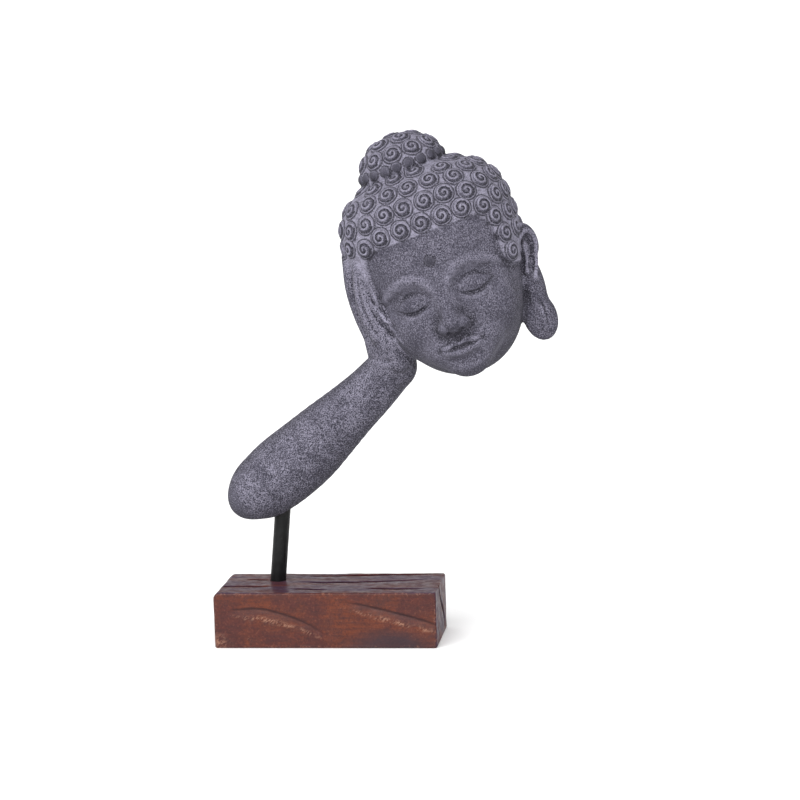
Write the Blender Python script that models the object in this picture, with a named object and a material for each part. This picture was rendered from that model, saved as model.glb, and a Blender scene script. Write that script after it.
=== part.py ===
"""A resting head with its hand and forearm, cast in stone, on a steel rod in a block of carved wood."""
import math

import bmesh
import bpy
import numpy as np
from mathutils import Matrix, Vector

# Sizes, in metres
block_length = 0.176
block_depth = 0.070
block_height = 0.0445
edge_round = 0.0015
worn_corner = 0.0045
gouge_depth = 0.0013

rod_diameter = 0.0125
rod_from_left = 0.0440
rod_from_front = 0.0470
rod_shows = 0.0612
rod_in_block = 0.026
rod_in_arm = 0.032
rod_lean = math.radians(5.9)
rod_chamfer = 0.0008
fit = 0.0003
# how far a cutter runs on outside what it cuts
cutter_reach = 0.02

figure_height = 0.3064
curl_width = 0.0148
curl_rise = 0.0020
curl_pitch = 0.0164
bead_width = 0.0080
bead_rise = 0.0019
bead_pitch = 0.0096
head_lean = math.radians(19.2)

# The figure is laid out in shares of its own height. At its real height one share is a millimetre.
FIGURE_SHARES = 306.4
SHARE = figure_height / FIGURE_SHARES
SKIN = 1.7
FIGURE_TRIANGLES = 7700

# The hair's cap and top knot, and each row of curls, in shares from the head's middle.
# A row is its height and the share of a curl's pitch that its first curl is turned by.
CAP = dict(centre=(0.0, -4.0, 24.4), radii=(67.2, 54.4, 90.0), far=(67.2, 51.6, 52.4), power=2.6)
KNOT = dict(centre=(-2.8, -2.0, 70.0), radii=(34.8, 32.0, 33.0), power=2.15)
CURL_ROWS = ((71.8, 0.57), (62.5, 0.10), (49.5, 0.64), (34.8, 0.16), (19.8, 0), (5.0, 0), (-9.6, 0),
             (-25.0, 0), (-39.0, 0))
KNOT_ROWS = ((90.0, 0.0), (99.5, 0.5))
BEAD_ROW = 79.6


def unit_ball(level):
    """Points and faces of a ball one wide each way."""
    bm = bmesh.new()
    bmesh.ops.create_icosphere(bm, subdivisions=level, radius=1.0)
    co = np.array([v.co for v in bm.verts])
    faces = np.array([[v.index for v in f.verts] for f in bm.faces])
    bm.free()
    return co, faces


def melt(a, b, blend):
    """The lower of two distances, run together over a width."""
    if blend <= 0:
        return np.minimum(a, b)
    h = np.clip(0.5 + 0.5 * (a - b) / blend, 0, 1)
    return a + (b - a) * h - blend * h * (1 - h)


class Egg:
    """An egg of clay. far gives its radii on the plus sides, axes its own directions."""

    def __init__(self, centre, radii, far=None, power=2.0, axes=None):
        self.centre = np.asarray(centre, float)
        self.radii = np.asarray(radii, float)
        self.far = self.radii if far is None else np.asarray(far, float)
        self.power = power
        self.axes = np.eye(3) if axes is None else np.asarray(axes, float)
        reach = np.sqrt(((self.axes * np.maximum(self.radii, self.far)[:, None]) ** 2).sum(axis=0))
        self.low, self.high = self.centre - reach, self.centre + reach

    def distance(self, co):
        along = (co - self.centre) @ self.axes.T
        size = np.where(along < 0, self.radii, self.far)
        u = np.abs(along) / size
        k = (u ** self.power).sum(axis=1) ** (1 / self.power) + 1e-6
        slope = np.sqrt((((u / k[:, None]) ** (self.power - 1) / size) ** 2).sum(axis=1))
        return (k - 1) / slope

    def surface(self, ball):
        length = (np.abs(ball) ** self.power).sum(axis=1) ** (1 / self.power)
        u = ball / length[:, None]
        return self.centre + (u * np.where(u < 0, self.radii, self.far)) @ self.axes

    def blanks(self):
        return [self.surface]

    def ring(self, height):
        """Points once round the egg at a height, from its front, with their normals."""
        turn = np.linspace(0, 2 * math.pi, 361)
        rise = height - self.centre[2]
        up = rise / (self.far[2] if rise > 0 else self.radii[2])
        flat = (1 - abs(up) ** self.power) ** (1 / self.power)
        u = np.stack([np.sin(turn), -np.cos(turn)], axis=1)
        u = u / (np.abs(u) ** self.power).sum(axis=1)[:, None] ** (1 / self.power) * flat
        u = np.column_stack([u, np.full(len(turn), up)])
        size = np.where(u < 0, self.radii, self.far)
        normal = np.sign(u) * np.abs(u) ** (self.power - 1) / size
        return self.centre + u * size, normal / np.linalg.norm(normal, axis=1)[:, None]


class Roll:
    """A roll of clay along a smooth line through knots of (x, y, z, radius)."""

    def __init__(self, knots, steps=None):
        knots = np.asarray(knots, float)
        path = knots if steps is None else smooth_line(knots, steps)
        self.co, self.radius = path[:, :3], path[:, 3]
        self.low = (self.co - self.radius[:, None]).min(axis=0)
        self.high = (self.co + self.radius[:, None]).max(axis=0)

    def distance(self, co):
        best = np.full(len(co), np.inf)
        for a, b, ra, rb in zip(self.co[:-1], self.co[1:], self.radius[:-1], self.radius[1:]):
            t = np.clip((co - a) @ (b - a) / ((b - a) @ (b - a)), 0, 1)
            off = co - a - t[:, None] * (b - a)
            best = np.minimum(best, np.sqrt((off ** 2).sum(axis=1)) - ra - t * (rb - ra))
        return best

    def blanks(self):
        fine = smooth_line(np.column_stack([self.co, self.radius]), 3 * len(self.co))
        return [Egg(p[:3], (p[3],) * 3).surface for p in fine]


class Hair(Egg):
    """The cap of hair: an egg cut off at the hairline."""

    def past_line(self, co):
        """How far points are past the hairline: below the brow's edge, and before or below the temple's."""
        x, y, z = co.T
        turn = np.degrees(np.arctan2(np.abs(x), self.centre[1] - y))
        temple = 1.08 * (np.interp(z, [-10, 5, 20, 28], [53, 53.5, 49, 43]) - turn)
        lowest = np.interp(turn, [50, 56, 62, 70, 82, 105, 130, 180], [-8, -15, -19, -20, -22, -36, -46, -48])
        side = 0.8 * (lowest - z)
        return melt(27.5 - z, -melt(-temple, -side, 6), 5)

    def distance(self, co):
        return -melt(-Egg.distance(self, co), -self.past_line(co), 2.0)

    def surface(self, ball):
        co = Egg.surface(self, ball)
        tuck = np.clip(1 - 0.02 * self.past_line(co), 0.8, 1.0)
        return self.centre + (co - self.centre) * tuck[:, None]


def smooth_line(knots, steps):
    """Points on a curve through the knots."""
    knots = np.asarray(knots, float)
    k = np.vstack([2 * knots[0] - knots[1], knots, 2 * knots[-1] - knots[-2]])
    line = []
    for t in np.linspace(0, len(k) - 3, steps):
        i = min(int(t), len(k) - 4)
        u = t - i
        a, b, c, d = k[i:i + 4]
        line.append(0.5 * (2 * b + (c - a) * u + (2 * a - 5 * b + 4 * c - d) * u ** 2
                           + (3 * b - a - 3 * c + d) * u ** 3))
    return np.array(line)


class Clay:
    """Lumps of clay put on and pressed in, one after the other."""

    def __init__(self):
        self.steps = []

    def add(self, lump, blend=2.0):
        self.steps.append((1, lump, blend))

    def press(self, lump, blend=1.0):
        self.steps.append((-1, lump, blend))

    def depth(self, co):
        """How far each point is outside the surface."""
        depth = np.full(len(co), 60.0)
        for sign, lump, blend in self.steps:
            reach = 1.6 * blend + 5.0
            near = np.flatnonzero(np.all((co > lump.low - reach) & (co < lump.high + reach), axis=1))
            if len(near):
                depth[near] = sign * melt(sign * depth[near], lump.distance(co[near]), blend)
        return depth

    def on_front(self, marks, lift, steps):
        """A line over the clay's front, from knots of (x, z, radius), lifted off it."""
        x, z, radius = smooth_line(marks, steps).T
        y = np.full(len(x), -90.0)
        for _ in range(50):
            y = y + 0.8 * self.depth(np.column_stack([x, y, z]))
        return Roll(np.column_stack([x, y - lift, z, radius]))

    def blank(self):
        """The rough blank: every lump as a ball mesh, in one mesh."""
        large, small = unit_ball(4), unit_ball(2)
        points, faces, count = [], [], 0
        for sign, lump, blend in self.steps:
            if sign < 0:
                continue
            ball, polygons = large if np.max(lump.high - lump.low) > 30 else small
            for surface in lump.blanks():
                points.append(surface(ball))
                faces.append(polygons + count)
                count += len(ball)
        mesh = bpy.data.meshes.new("blank")
        mesh.from_pydata(np.concatenate(points), [], np.concatenate(faces).tolist())
        return mesh

    def skin(self, voxel):
        """The finished surface: the blank made one skin, and drawn onto the clay in two passes."""
        mesh = self.blank()
        for size, smooth, rounds in ((1.4 * voxel, 8, 7), (voxel, 2, 5)):
            mesh = one_skin(mesh, size, smooth)
            self.draw_on(mesh, rounds)
        keep_largest(mesh)
        return mesh

    def draw_on(self, mesh, rounds, relax=0.35):
        """Moves the points onto the clay, and evens them out beside their neighbours between the rounds."""
        co = points_of(mesh)
        ends = np.empty(2 * len(mesh.edges), np.int64)
        mesh.edges.foreach_get("vertices", ends)
        here = np.concatenate([ends[0::2], ends[1::2]])
        there = np.concatenate([ends[1::2], ends[0::2]])
        count = np.bincount(here, minlength=len(co))[:, None]
        for turn in range(rounds):
            if turn:
                middle = [np.bincount(here, co[there, i], len(co)) for i in range(3)]
                middle = np.column_stack(middle) / count
                co = co + relax * (middle - co)
                mesh.vertices.foreach_set("co", co.ravel())
                mesh.update()
            co = co - normals_of(mesh) * np.clip(self.depth(co), -3, 3)[:, None]
            mesh.vertices.foreach_set("co", co.ravel())
            mesh.update()


def points_of(mesh):
    co = np.empty(len(mesh.vertices) * 3)
    mesh.vertices.foreach_get("co", co)
    return co.reshape(-1, 3)


def normals_of(mesh):
    normal = np.empty(len(mesh.vertices) * 3)
    mesh.vertex_normals.foreach_get("vector", normal)
    return normal.reshape(-1, 3)


def one_skin(mesh, voxel, smooth):
    """Remeshes overlapping closed forms as one closed form."""
    piece = bpy.data.objects.new("blank", mesh)
    bpy.context.scene.collection.objects.link(piece)
    remesh = piece.modifiers.new("One skin", "REMESH")
    remesh.mode = "VOXEL"
    remesh.voxel_size = voxel
    soften = piece.modifiers.new("Soften", "SMOOTH")
    soften.iterations = smooth
    skin = bpy.data.meshes.new_from_object(piece.evaluated_get(bpy.context.evaluated_depsgraph_get()))
    bpy.data.objects.remove(piece)
    bpy.data.meshes.remove(mesh)
    return skin


def keep_largest(mesh):
    """Drops the crumbs that the remeshing leaves beside the one body."""
    bm = bmesh.new()
    bm.from_mesh(mesh)
    waiting = set(bm.verts)
    bodies = []
    while waiting:
        body, edge = set(), {waiting.pop()}
        while edge:
            body |= edge
            edge = {e.other_vert(v) for v in edge for e in v.link_edges} - body
        waiting -= body
        bodies.append(body)
    bodies.sort(key=len)
    for body in bodies[:-1]:
        bmesh.ops.delete(bm, geom=list(body), context="VERTS")
    bm.to_mesh(mesh)
    bm.free()


def skull(clay):
    clay.add(Egg((0, -2, 13), (63, 56.5, 61), (63, 43, 61)), 0)
    clay.add(Egg((0, -2, 22), (63.5, 56.3, 44), (63.5, 40, 44), power=2.5), 8)
    clay.add(Egg((0, -10, -32), (52, 47, 58), (52, 40, 58)), 26)
    clay.add(Egg((0, 2, -20), (50, 33, 42)), 14)
    for k in (-1, 1):
        clay.add(Egg((k * 27, -36, -42), (20, 19, 21)), 16)
    clay.add(Egg((0, -47, -76.5), (15, 12, 11.5)), 13)


def face(clay):
    for k in (-1, 1):
        brow = [(k * 8.0, -13.5, 1.2), (k * 12.5, -7.6, 1.9), (k * 23.0, -3.6, 2.2), (k * 34.0, -5.6, 1.8),
                (k * 41.0, -10.0, 1.0), (k * 44.0, -13.5, 0.5)]
        brow = clay.on_front(brow, 0.6, 13)
        clay.press(Egg((k * 25, -66, -19.5), (14.5, 10, 8)), 9)
        clay.add(brow, 5)
        clay.add(Egg((k * 24.5, -46.5, -22), (14, 11.5, 8.5)), 3.5)
    clay.add(Egg((0, -50.5, -8), (11, 7, 9)), 8)
    bridge = [(0, -53.5, -4, 4.6), (0, -58.0, -18, 4.8), (0, -61.2, -30, 5.6), (0, -63.6, -40, 6.6)]
    clay.add(Roll(bridge, 8), 8)
    clay.add(Egg((0, -65.0, -43.6), (7.2, 6.8, 5.8)), 5)
    for k in (-1, 1):
        clay.add(Egg((k * 7.6, -59.8, -45.6), (5.6, 7.2, 4.8)), 4.5)
    clay.add(Egg((0, -62.4, -48.2), (3.0, 5.4, 2.4)), 3)
    clay.add(Egg((0, -47, -63.8), (26, 14, 14)), 12)
    upper = [(-17.0, -61.6, 0.8), (-10.0, -60.2, 2.0), (-3.8, -58.9, 2.6), (0, -59.6, 2.4), (3.8, -58.9, 2.6),
             (10.0, -60.2, 2.0), (17.0, -61.6, 0.8)]
    lower = [(-14.5, -63.4, 1.0), (-8.0, -65.8, 2.8), (0, -67.0, 3.6), (8.0, -65.8, 2.8), (14.5, -63.4, 1.0)]
    upper, lower = clay.on_front(upper, 0.0, 17), clay.on_front(lower, -0.3, 13)
    clay.add(upper, 2.2)
    clay.add(lower, 2.4)
    clay.press(clay.on_front([(-10, -72.6, 2.0), (0, -73.6, 2.6), (10, -72.6, 2.0)], 1.7, 9), 6)


def face_lines(clay):
    """The closed lids' lines, the lips' parting and the round mark on the brow."""
    for k in (-1, 1):
        lashes = [(k * 11.5, -23.6, 0.9), (k * 25.0, -27.8, 1.5), (k * 39.5, -21.8, 0.9)]
        clay.press(clay.on_front(lashes, 0.25, 11), 0.8)
    clay.press(clay.on_front([(-18.0, -61.2, 0.8), (0, -62.8, 1.1), (18.0, -61.2, 0.8)], 0.0, 11), 0.8)
    mark = clay.on_front([(0, 6.0, 1.0), (0, 5.0, 1.0)], 0.0, 2).co[0]
    curl(clay, mark, np.array((0, -1.0, 0)), 4.6, 1.6)


def places_round(egg, height, count, phase=0.0, start=0.0, dip=0.0):
    """Evenly spaced places, each a point and its normal, round an egg at a height.

    They begin a start away from its front on both sides, and dip where the row turns from brow to temple.
    """
    co = egg.ring(height)[0]
    run = np.concatenate([[0], np.cumsum(np.linalg.norm(np.diff(co, axis=0), axis=1))])
    for n in range(count + (start > 0)):
        step = int(np.searchsorted(run, start + (n + phase) / count * (run[-1] - 2 * start) - 1e-6))
        x, y, z = co[step]
        turn = math.degrees(math.atan2(abs(x), egg.centre[1] - y))
        lower = dip * max(0, 1 - ((turn - 47) / 11) ** 2)
        points, normals = egg.ring(height - lower)
        yield points[step], normals[step]


def around(egg, height):
    return np.linalg.norm(np.diff(egg.ring(height)[0], axis=0), axis=1).sum()


def curl(clay, point, out, radius, rise):
    """A domed curl, its edge sunk so that it swells out of the ground."""
    side = np.cross((0.0, 0.0, 1.0), out)
    side = side / np.linalg.norm(side) if np.linalg.norm(side) > 1e-3 else np.array((1.0, 0.0, 0.0))
    axes = (side, np.cross(out, side), out)
    clay.add(Egg(point - out * 0.6 * rise, (1.07 * radius, 1.07 * radius, 1.6 * rise), axes=axes), 1.2)


def curls(clay, cap, knot):
    radius = curl_width / SHARE / 2
    rise = curl_rise / SHARE
    pitch = curl_pitch / SHARE
    found = []
    for height, phase in CURL_ROWS:
        steps = np.linalg.norm(np.diff(cap.ring(height)[0], axis=0), axis=1)
        start = steps[:np.argmax(cap.past_line(cap.ring(height)[0]) < -0.85 * radius)].sum()
        count = round((around(cap, height) - 2 * start) / pitch)
        found += places_round(cap, height, count, phase, start, dip=4.5 if height > 30 else 0)
    for height, phase in KNOT_ROWS:
        found += places_round(knot, height, round(around(knot, height) / pitch), phase)
    found.append((knot.centre + (0, 0, knot.far[2]), np.array((0, 0, 1.0))))
    bare = Clay()
    bare.steps = list(clay.steps)
    for point, out in found:
        over, under = bare.depth(np.array([point + 2.0 * out, point]))
        if over > 1.0 and under < 1.0:
            curl(clay, point, out, radius, rise)
    for point, out in places_round(knot, BEAD_ROW, round(around(knot, BEAD_ROW) / (bead_pitch / SHARE))):
        curl(clay, point, out, bead_width / SHARE / 2, bead_rise / SHARE)


def plate(degrees):
    """Directions of a flat part of the ear that flares out from the head."""
    turn = math.radians(degrees)
    return ((math.sin(turn), math.cos(turn), 0), (0, 0, 1), (math.cos(turn), -math.sin(turn), 0))


def ear(clay):
    clay.add(Egg((65.2, -6.5, -9.5), (12.0, 15.5, 4.0), axes=plate(50)), 2.5)
    clay.add(Egg((61.6, -5.8, -37), (9.2, 25, 4.6), axes=plate(52)), 4)
    clay.add(Egg((57.0, -6.0, -67), (14.0, 18.5, 5.2), axes=plate(62)), 4)
    rim = [(61.0, -16.0, -13, 1.4), (62.2, -16.0, -6.5, 1.9), (65.5, -13.4, -1.8, 2.2),
           (69.0, -10.2, -0.8, 2.3), (72.0, -6.8, -4.5, 2.3), (72.8, -5.4, -10.5, 2.1),
           (71.0, -6.0, -18, 1.9), (68.4, -7.4, -27, 1.8), (64.8, -9.2, -35.0, 1.9), (62.8, -10.4, -39.5, 2.6)]
    clay.add(Roll(rim, 26), 0.9)
    groove = [(62.8, -14.6, -10.5, 0.8), (65.5, -12.6, -5.8, 1.6), (69.0, -9.6, -6.6, 1.9),
              (69.8, -8.6, -13, 1.8), (67.0, -9.6, -22, 1.5), (63.8, -11.0, -31, 0.9)]
    clay.press(Roll(groove, 16), 0.8)
    clay.add(Egg((64.9, -12.2, -14.0), (3.4, 6.0, 2.4), axes=plate(50)), 1.5)
    ridge = [(64.4, -13.0, -16, 1.8), (63.2, -13.4, -21, 1.6), (61.2, -13.2, -26.5, 1.6),
             (60.2, -13.2, -30.5, 2.2)]
    clay.add(Roll(ridge, 10), 1.0)
    clay.press(Roll([(62.8, -9.8, -54.0, 0.9), (62.0, -10.8, -63, 2.1), (60.8, -11.2, -73, 1.0)], 8), 1.2)
    clay.add(Roll([(62.2, -8.6, -57, 0.6), (61.5, -9.4, -64, 1.2), (60.6, -9.6, -71, 0.6)], 8), 1.0)


def hand(clay, wrist):
    """Four fingers up the temple, the thumb along the cheek, and the palm's heel run into the wrist."""
    clay.add(Egg((-59, -8, -32), (16.0, 24, 32)), 7)
    clay.add(Roll([(-60.5, -15, -42, 16.6), (-62.0, -12, -54, 17.2), (*wrist[:3], 17.4)], 6), 4)
    index = [(-60.5, -27, -42, 8.0), (-62.5, -33, -20, 8.2), (-59.8, -37.5, -2, 7.6), (-55.6, -38.5, 18, 6.2)]
    middle = [(-66.5, -18, -40, 9.0), (-68.2, -20.5, -18, 8.4), (-67.2, -21.5, 4, 8.0), (-62.6, -22, 28, 6.4)]
    ring = [(-68.0, -3, -40, 9.4), (-69.6, -3.5, -18, 8.6), (-69.2, -3, 6, 8.0), (-65.2, -2, 28, 6.4)]
    little = [(-65, 12, -38, 8.4), (-67.5, 12.5, -16, 7.8), (-66.8, 13, 2, 7.0), (-63.0, 13, 16, 5.8)]
    for finger in (index, middle, ring, little):
        clay.add(Roll(finger, 11), 1.8)
    thumb = [(-55.0, -22, -58, 12.0), (-52.5, -27.5, -44, 10.6), (-53.2, -31, -28, 8.4), (-53.8, -32.5, -10, 5.6)]
    clay.add(Roll(thumb, 9), 3.0)


def forearm(clay, line, elbow, elbow_corner):
    clay.add(Roll(line, 19), 3)
    clay.add(Egg(elbow, (21, 23, 21)), 6)
    clay.add(Egg(elbow_corner, (13.5, 17, 13.5)), 7)


def head_to_world(entry):
    """Places the head's own frame, in shares, from the point where the rod enters the arm."""
    middle = entry + Vector((134.1, -12.0, 194.3)) * SHARE
    return Matrix.Translation(middle) @ Matrix.Rotation(-head_lean, 4, "Y") @ Matrix.Scale(SHARE, 4)


def figure(entry, rod_way):
    world = head_to_world(entry)
    inward = world.inverted()

    def in_head(x, y, z):
        """A point given in shares from the rod's entry, in the head's frame."""
        return inward @ (entry + Vector((x, y, z)) * SHARE)

    # the forearm's middle line from the elbow to the wrist, in shares from the rod's entry, with its radius
    stations = [(-11.8, 0, 17.2, 26.8), (1.9, -2, 28.2, 28.4), (21.0, -4, 43.4, 27.7), (39.4, -7, 60.2, 25.1),
                (58.0, -10, 77.1, 22.0), (75.5, -12, 93.1, 20.0), (94.6, -19, 113.0, 18.2)]
    line = [(*in_head(x, y, z), radius) for x, y, z, radius in stations]
    clay = Clay()
    cap = Hair(**CAP)
    knot = Egg(**KNOT)
    skull(clay)
    face(clay)
    clay.add(cap, 2.4)
    clay.add(knot, 2.5)
    for k in (-1, 1):
        clay.press(Egg((k * 84, -8, -25), (24.0, 33, 29), power=2.5), 3)
    ear(clay)
    hand(clay, line[-1])
    forearm(clay, line, in_head(-22.0, 0, 11.0), in_head(-28.5, 0, 4.5))
    curls(clay, cap, knot)
    face_lines(clay)
    mesh = clay.skin(SKIN)
    mesh.name = "stone_figure"
    mesh.transform(world)
    mesh.shade_smooth()
    piece = bpy.data.objects.new("stone_figure", mesh)
    bpy.context.scene.collection.objects.link(piece)
    fewer = piece.modifiers.new("Fewer faces", "DECIMATE")
    fewer.ratio = FIGURE_TRIANGLES / (2 * len(mesh.polygons))
    fewer.use_collapse_triangulate = True
    socket = rod("rod_socket", entry - rod_way * cutter_reach, rod_way, cutter_reach + rod_in_arm + fit,
                 rod_diameter / 2 + fit, 0)
    cut(piece, socket)
    return piece


def cut(piece, cutter):
    """Cuts one mesh out of another with a live Boolean."""
    cutter.hide_render = True
    cutter.display_type = "WIRE"
    boolean = piece.modifiers.new(cutter.name, "BOOLEAN")
    boolean.operation = "DIFFERENCE"
    boolean.solver = "EXACT"
    boolean.object = cutter


def rod(name, foot, way, length, radius, chamfer):
    bm = bmesh.new()
    bmesh.ops.create_cone(bm, cap_ends=True, segments=28, radius1=radius, radius2=radius, depth=length)
    bmesh.ops.translate(bm, verts=bm.verts, vec=(0, 0, length / 2))
    if chamfer:
        rims = [e for e in bm.edges if abs(e.verts[0].co.z - e.verts[1].co.z) < 1e-6]
        bmesh.ops.bevel(bm, geom=rims, offset=chamfer, segments=1, affect="EDGES")
    mesh = bpy.data.meshes.new(name)
    bm.to_mesh(mesh)
    bm.free()
    mesh.shade_smooth()
    mesh.set_sharp_from_angle(angle=math.radians(35))
    piece = bpy.data.objects.new(name, mesh)
    piece.location = foot
    piece.rotation_euler = way.to_track_quat("Z", "Y").to_euler()
    bpy.context.scene.collection.objects.link(piece)
    return piece


def block():
    bm = bmesh.new()
    bmesh.ops.create_cube(bm, size=1.0)
    bmesh.ops.scale(bm, verts=bm.verts, vec=(block_length, block_depth, block_height))
    bmesh.ops.translate(bm, verts=bm.verts, vec=(0, 0, block_height / 2))
    left = -block_length / 2

    def on_left_end(edge):
        top = all(v.co.z > block_height - 1e-5 for v in edge.verts)
        back = all(v.co.y > block_depth / 2 - 1e-5 for v in edge.verts)
        return all(v.co.x < left + 1e-5 for v in edge.verts) and (top or back)

    worn = [e for e in bm.edges if on_left_end(e)]
    bmesh.ops.bevel(bm, geom=worn, offset=worn_corner, segments=3, profile=0.5, affect="EDGES")
    sharp = [e for e in bm.edges if len(e.link_faces) == 2 and e.calc_face_angle() > math.radians(50)]
    bmesh.ops.bevel(bm, geom=sharp, offset=edge_round, segments=2, profile=0.5, affect="EDGES")
    mesh = bpy.data.meshes.new("wood_block")
    bm.to_mesh(mesh)
    bm.free()
    mesh.shade_smooth()
    mesh.set_sharp_from_angle(angle=math.radians(35))
    piece = bpy.data.objects.new("wood_block", mesh)
    bpy.context.scene.collection.objects.link(piece)
    return piece


def gouge(name, path, out, width):
    """A long shallow cut along a path on a face, tapered to nothing at its closed ends."""
    radius = (width ** 2 / 4 + gouge_depth ** 2) / (2 * gouge_depth)
    curve = bpy.data.curves.new(name, "CURVE")
    curve.dimensions = "3D"
    curve.bevel_depth = radius
    curve.bevel_resolution = 4
    curve.use_fill_caps = True
    line = smooth_line(path, 13)
    line = line + np.asarray(out) * (radius - gouge_depth)
    spline = curve.splines.new("POLY")
    spline.points.add(len(line) - 1)
    for n, (point, co) in enumerate(zip(spline.points, line)):
        share = abs(2 * n / (len(line) - 1) - 1)
        point.co = (*co, 1)
        point.radius = 1 - (gouge_depth / radius + 0.02) * share ** 4
    source = bpy.data.objects.new(name, curve)
    bpy.context.scene.collection.objects.link(source)
    mesh = bpy.data.meshes.new_from_object(source.evaluated_get(bpy.context.evaluated_depsgraph_get()))
    bpy.data.objects.remove(source)
    bpy.data.curves.remove(curve)
    cutter = bpy.data.objects.new(name, mesh)
    bpy.context.scene.collection.objects.link(cutter)
    return cutter


def finish(piece, name, colour, roughness, metallic):
    material = bpy.data.materials.new(name)
    material.use_nodes = True
    shader = material.node_tree.nodes["Principled BSDF"]
    shader.inputs["Base Color"].default_value = (*colour, 1)
    shader.inputs["Roughness"].default_value = roughness
    shader.inputs["Metallic"].default_value = metallic
    piece.data.materials.clear()
    piece.data.materials.append(material)


for item in list(bpy.data.objects):
    bpy.data.objects.remove(item)

left, right, front = -block_length / 2, block_length / 2, -block_depth / 2
rod_way = Vector((math.sin(rod_lean), 0, math.cos(rod_lean)))
rod_foot = Vector((left + rod_from_left, front + rod_from_front, block_height))
entry = rod_foot + rod_way * rod_shows

stone_figure = figure(entry, rod_way)
steel_rod = rod("steel_rod", rod_foot - rod_way * rod_in_block, rod_way, rod_in_block + rod_shows + rod_in_arm,
                rod_diameter / 2, rod_chamfer)

wood_block = block()
cut(wood_block, rod("block_socket", rod_foot - rod_way * (rod_in_block + fit), rod_way,
                    rod_in_block + fit + cutter_reach, rod_diameter / 2 + fit, 0))
# the gouges: each path in shares of the face that it lies on, and its width
front_gouges = (
    ([(0.08, 0.70), (0.21, 0.69), (0.27, 0.64), (0.34, 0.56), (0.43, 0.41), (0.51, 0.23)], 0.0064),
    ([(0.58, 0.85), (0.71, 0.71), (0.83, 0.59), (0.92, 0.50), (1.02, 0.39)], 0.0064),
)
top_gouges = (
    ([(0.01, 0.31), (0.12, 0.32), (0.26, 0.30)], 0.0030),
    ([(0.10, 0.68), (0.16, 0.67), (0.22, 0.66)], 0.0024),
    ([(0.31, 0.86), (0.54, 0.85), (0.75, 0.90), (0.97, 0.88)], 0.0034),
    ([(0.34, 0.55), (0.50, 0.50), (0.70, 0.55), (0.93, 0.63)], 0.0034),
    ([(0.33, 0.20), (0.42, 0.18), (0.52, 0.14)], 0.0028),
    ([(0.68, 0.22), (0.80, 0.19), (0.93, 0.20)], 0.0032),
)
end_gouge = ([(0.30, 1.04), (0.36, 0.90), (0.46, 0.72), (0.62, 0.52), (0.76, 0.28), (0.80, 0.08)], 0.0050)
for n, (path, width) in enumerate(front_gouges):
    points = [(left + u * block_length, front, v * block_height) for u, v in path]
    cut(wood_block, gouge("front_gouge_%d" % (n + 1), points, (0, -1, 0), width))
for n, (path, width) in enumerate(top_gouges):
    points = [(left + u * block_length, front + v * block_depth, block_height) for u, v in path]
    cut(wood_block, gouge("top_gouge_%d" % (n + 1), points, (0, 0, 1), width))
path, width = end_gouge
points = [(right, front + u * block_depth, v * block_height) for u, v in path]
cut(wood_block, gouge("end_gouge", points, (1, 0, 0), width))

finish(stone_figure, "grey cast stone", (0.105, 0.100, 0.120), 0.9, 0.0)
finish(steel_rod, "black painted steel", (0.012, 0.013, 0.014), 0.45, 0.6)
finish(wood_block, "stained wood", (0.150, 0.040, 0.025), 0.45, 0.0)
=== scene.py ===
"""A resting stone head on its own hand, on a steel rod in a carved wood block."""
import math

import bmesh
import bpy
import numpy as np
from mathutils import Matrix, Quaternion, Vector, noise


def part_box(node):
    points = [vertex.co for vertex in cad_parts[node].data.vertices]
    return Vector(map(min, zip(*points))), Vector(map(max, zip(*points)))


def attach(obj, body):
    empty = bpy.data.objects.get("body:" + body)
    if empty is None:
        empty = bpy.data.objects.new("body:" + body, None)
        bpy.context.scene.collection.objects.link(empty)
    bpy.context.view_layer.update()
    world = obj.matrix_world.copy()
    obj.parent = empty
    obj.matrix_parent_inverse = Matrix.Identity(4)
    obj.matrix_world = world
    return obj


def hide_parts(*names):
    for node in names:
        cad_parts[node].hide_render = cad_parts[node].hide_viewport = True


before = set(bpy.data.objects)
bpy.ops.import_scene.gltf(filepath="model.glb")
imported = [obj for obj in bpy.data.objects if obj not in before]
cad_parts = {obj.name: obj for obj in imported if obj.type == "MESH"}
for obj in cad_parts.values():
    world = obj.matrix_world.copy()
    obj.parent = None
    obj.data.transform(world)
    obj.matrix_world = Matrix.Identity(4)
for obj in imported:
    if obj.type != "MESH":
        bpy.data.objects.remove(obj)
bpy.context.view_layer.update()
scene = bpy.context.scene

# The block: a length of hardwood sawn square, its left end eased by hand, with long gouges carved in its
# face, its top and its right end, then stained red-brown and waxed. It stands loose, and its drilled hole
# holds the rod.
block_low, block_high = (np.array(corner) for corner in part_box("wood_block"))
block_size = block_high - block_low
edge_round = 0.0015
worn_corner = 0.0045
wood_grid = 0.0008
face_wave = 0.00035
rod_diameter = 0.0125
rod_from_left = 0.0440
rod_from_front = 0.0470
rod_shows = 0.0612
rod_in_block = 0.026
rod_in_arm = 0.032
rod_lean = math.radians(5.9)
socket_fit = 0.0003
bit_past = 0.02
rod_way = Vector((math.sin(rod_lean), 0, math.cos(rod_lean)))
rod_foot = Vector((block_low[0] + rod_from_left, block_low[1] + rod_from_front, block_high[2]))
rod_entry = rod_foot + rod_way * rod_shows
gouge_lip = 0.14
deep_gouge = 0.0011
face_band = 0.0012
wave_long = 0.022
wave_short = 0.008
edge_wear_width = 0.0032
corner_wear_reach = (0.016, 0.010, 0.012)
stain_place = (0.80, 0.0, 0.06)
stain_reach = (0.026, 0.004, 0.0095)
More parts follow.
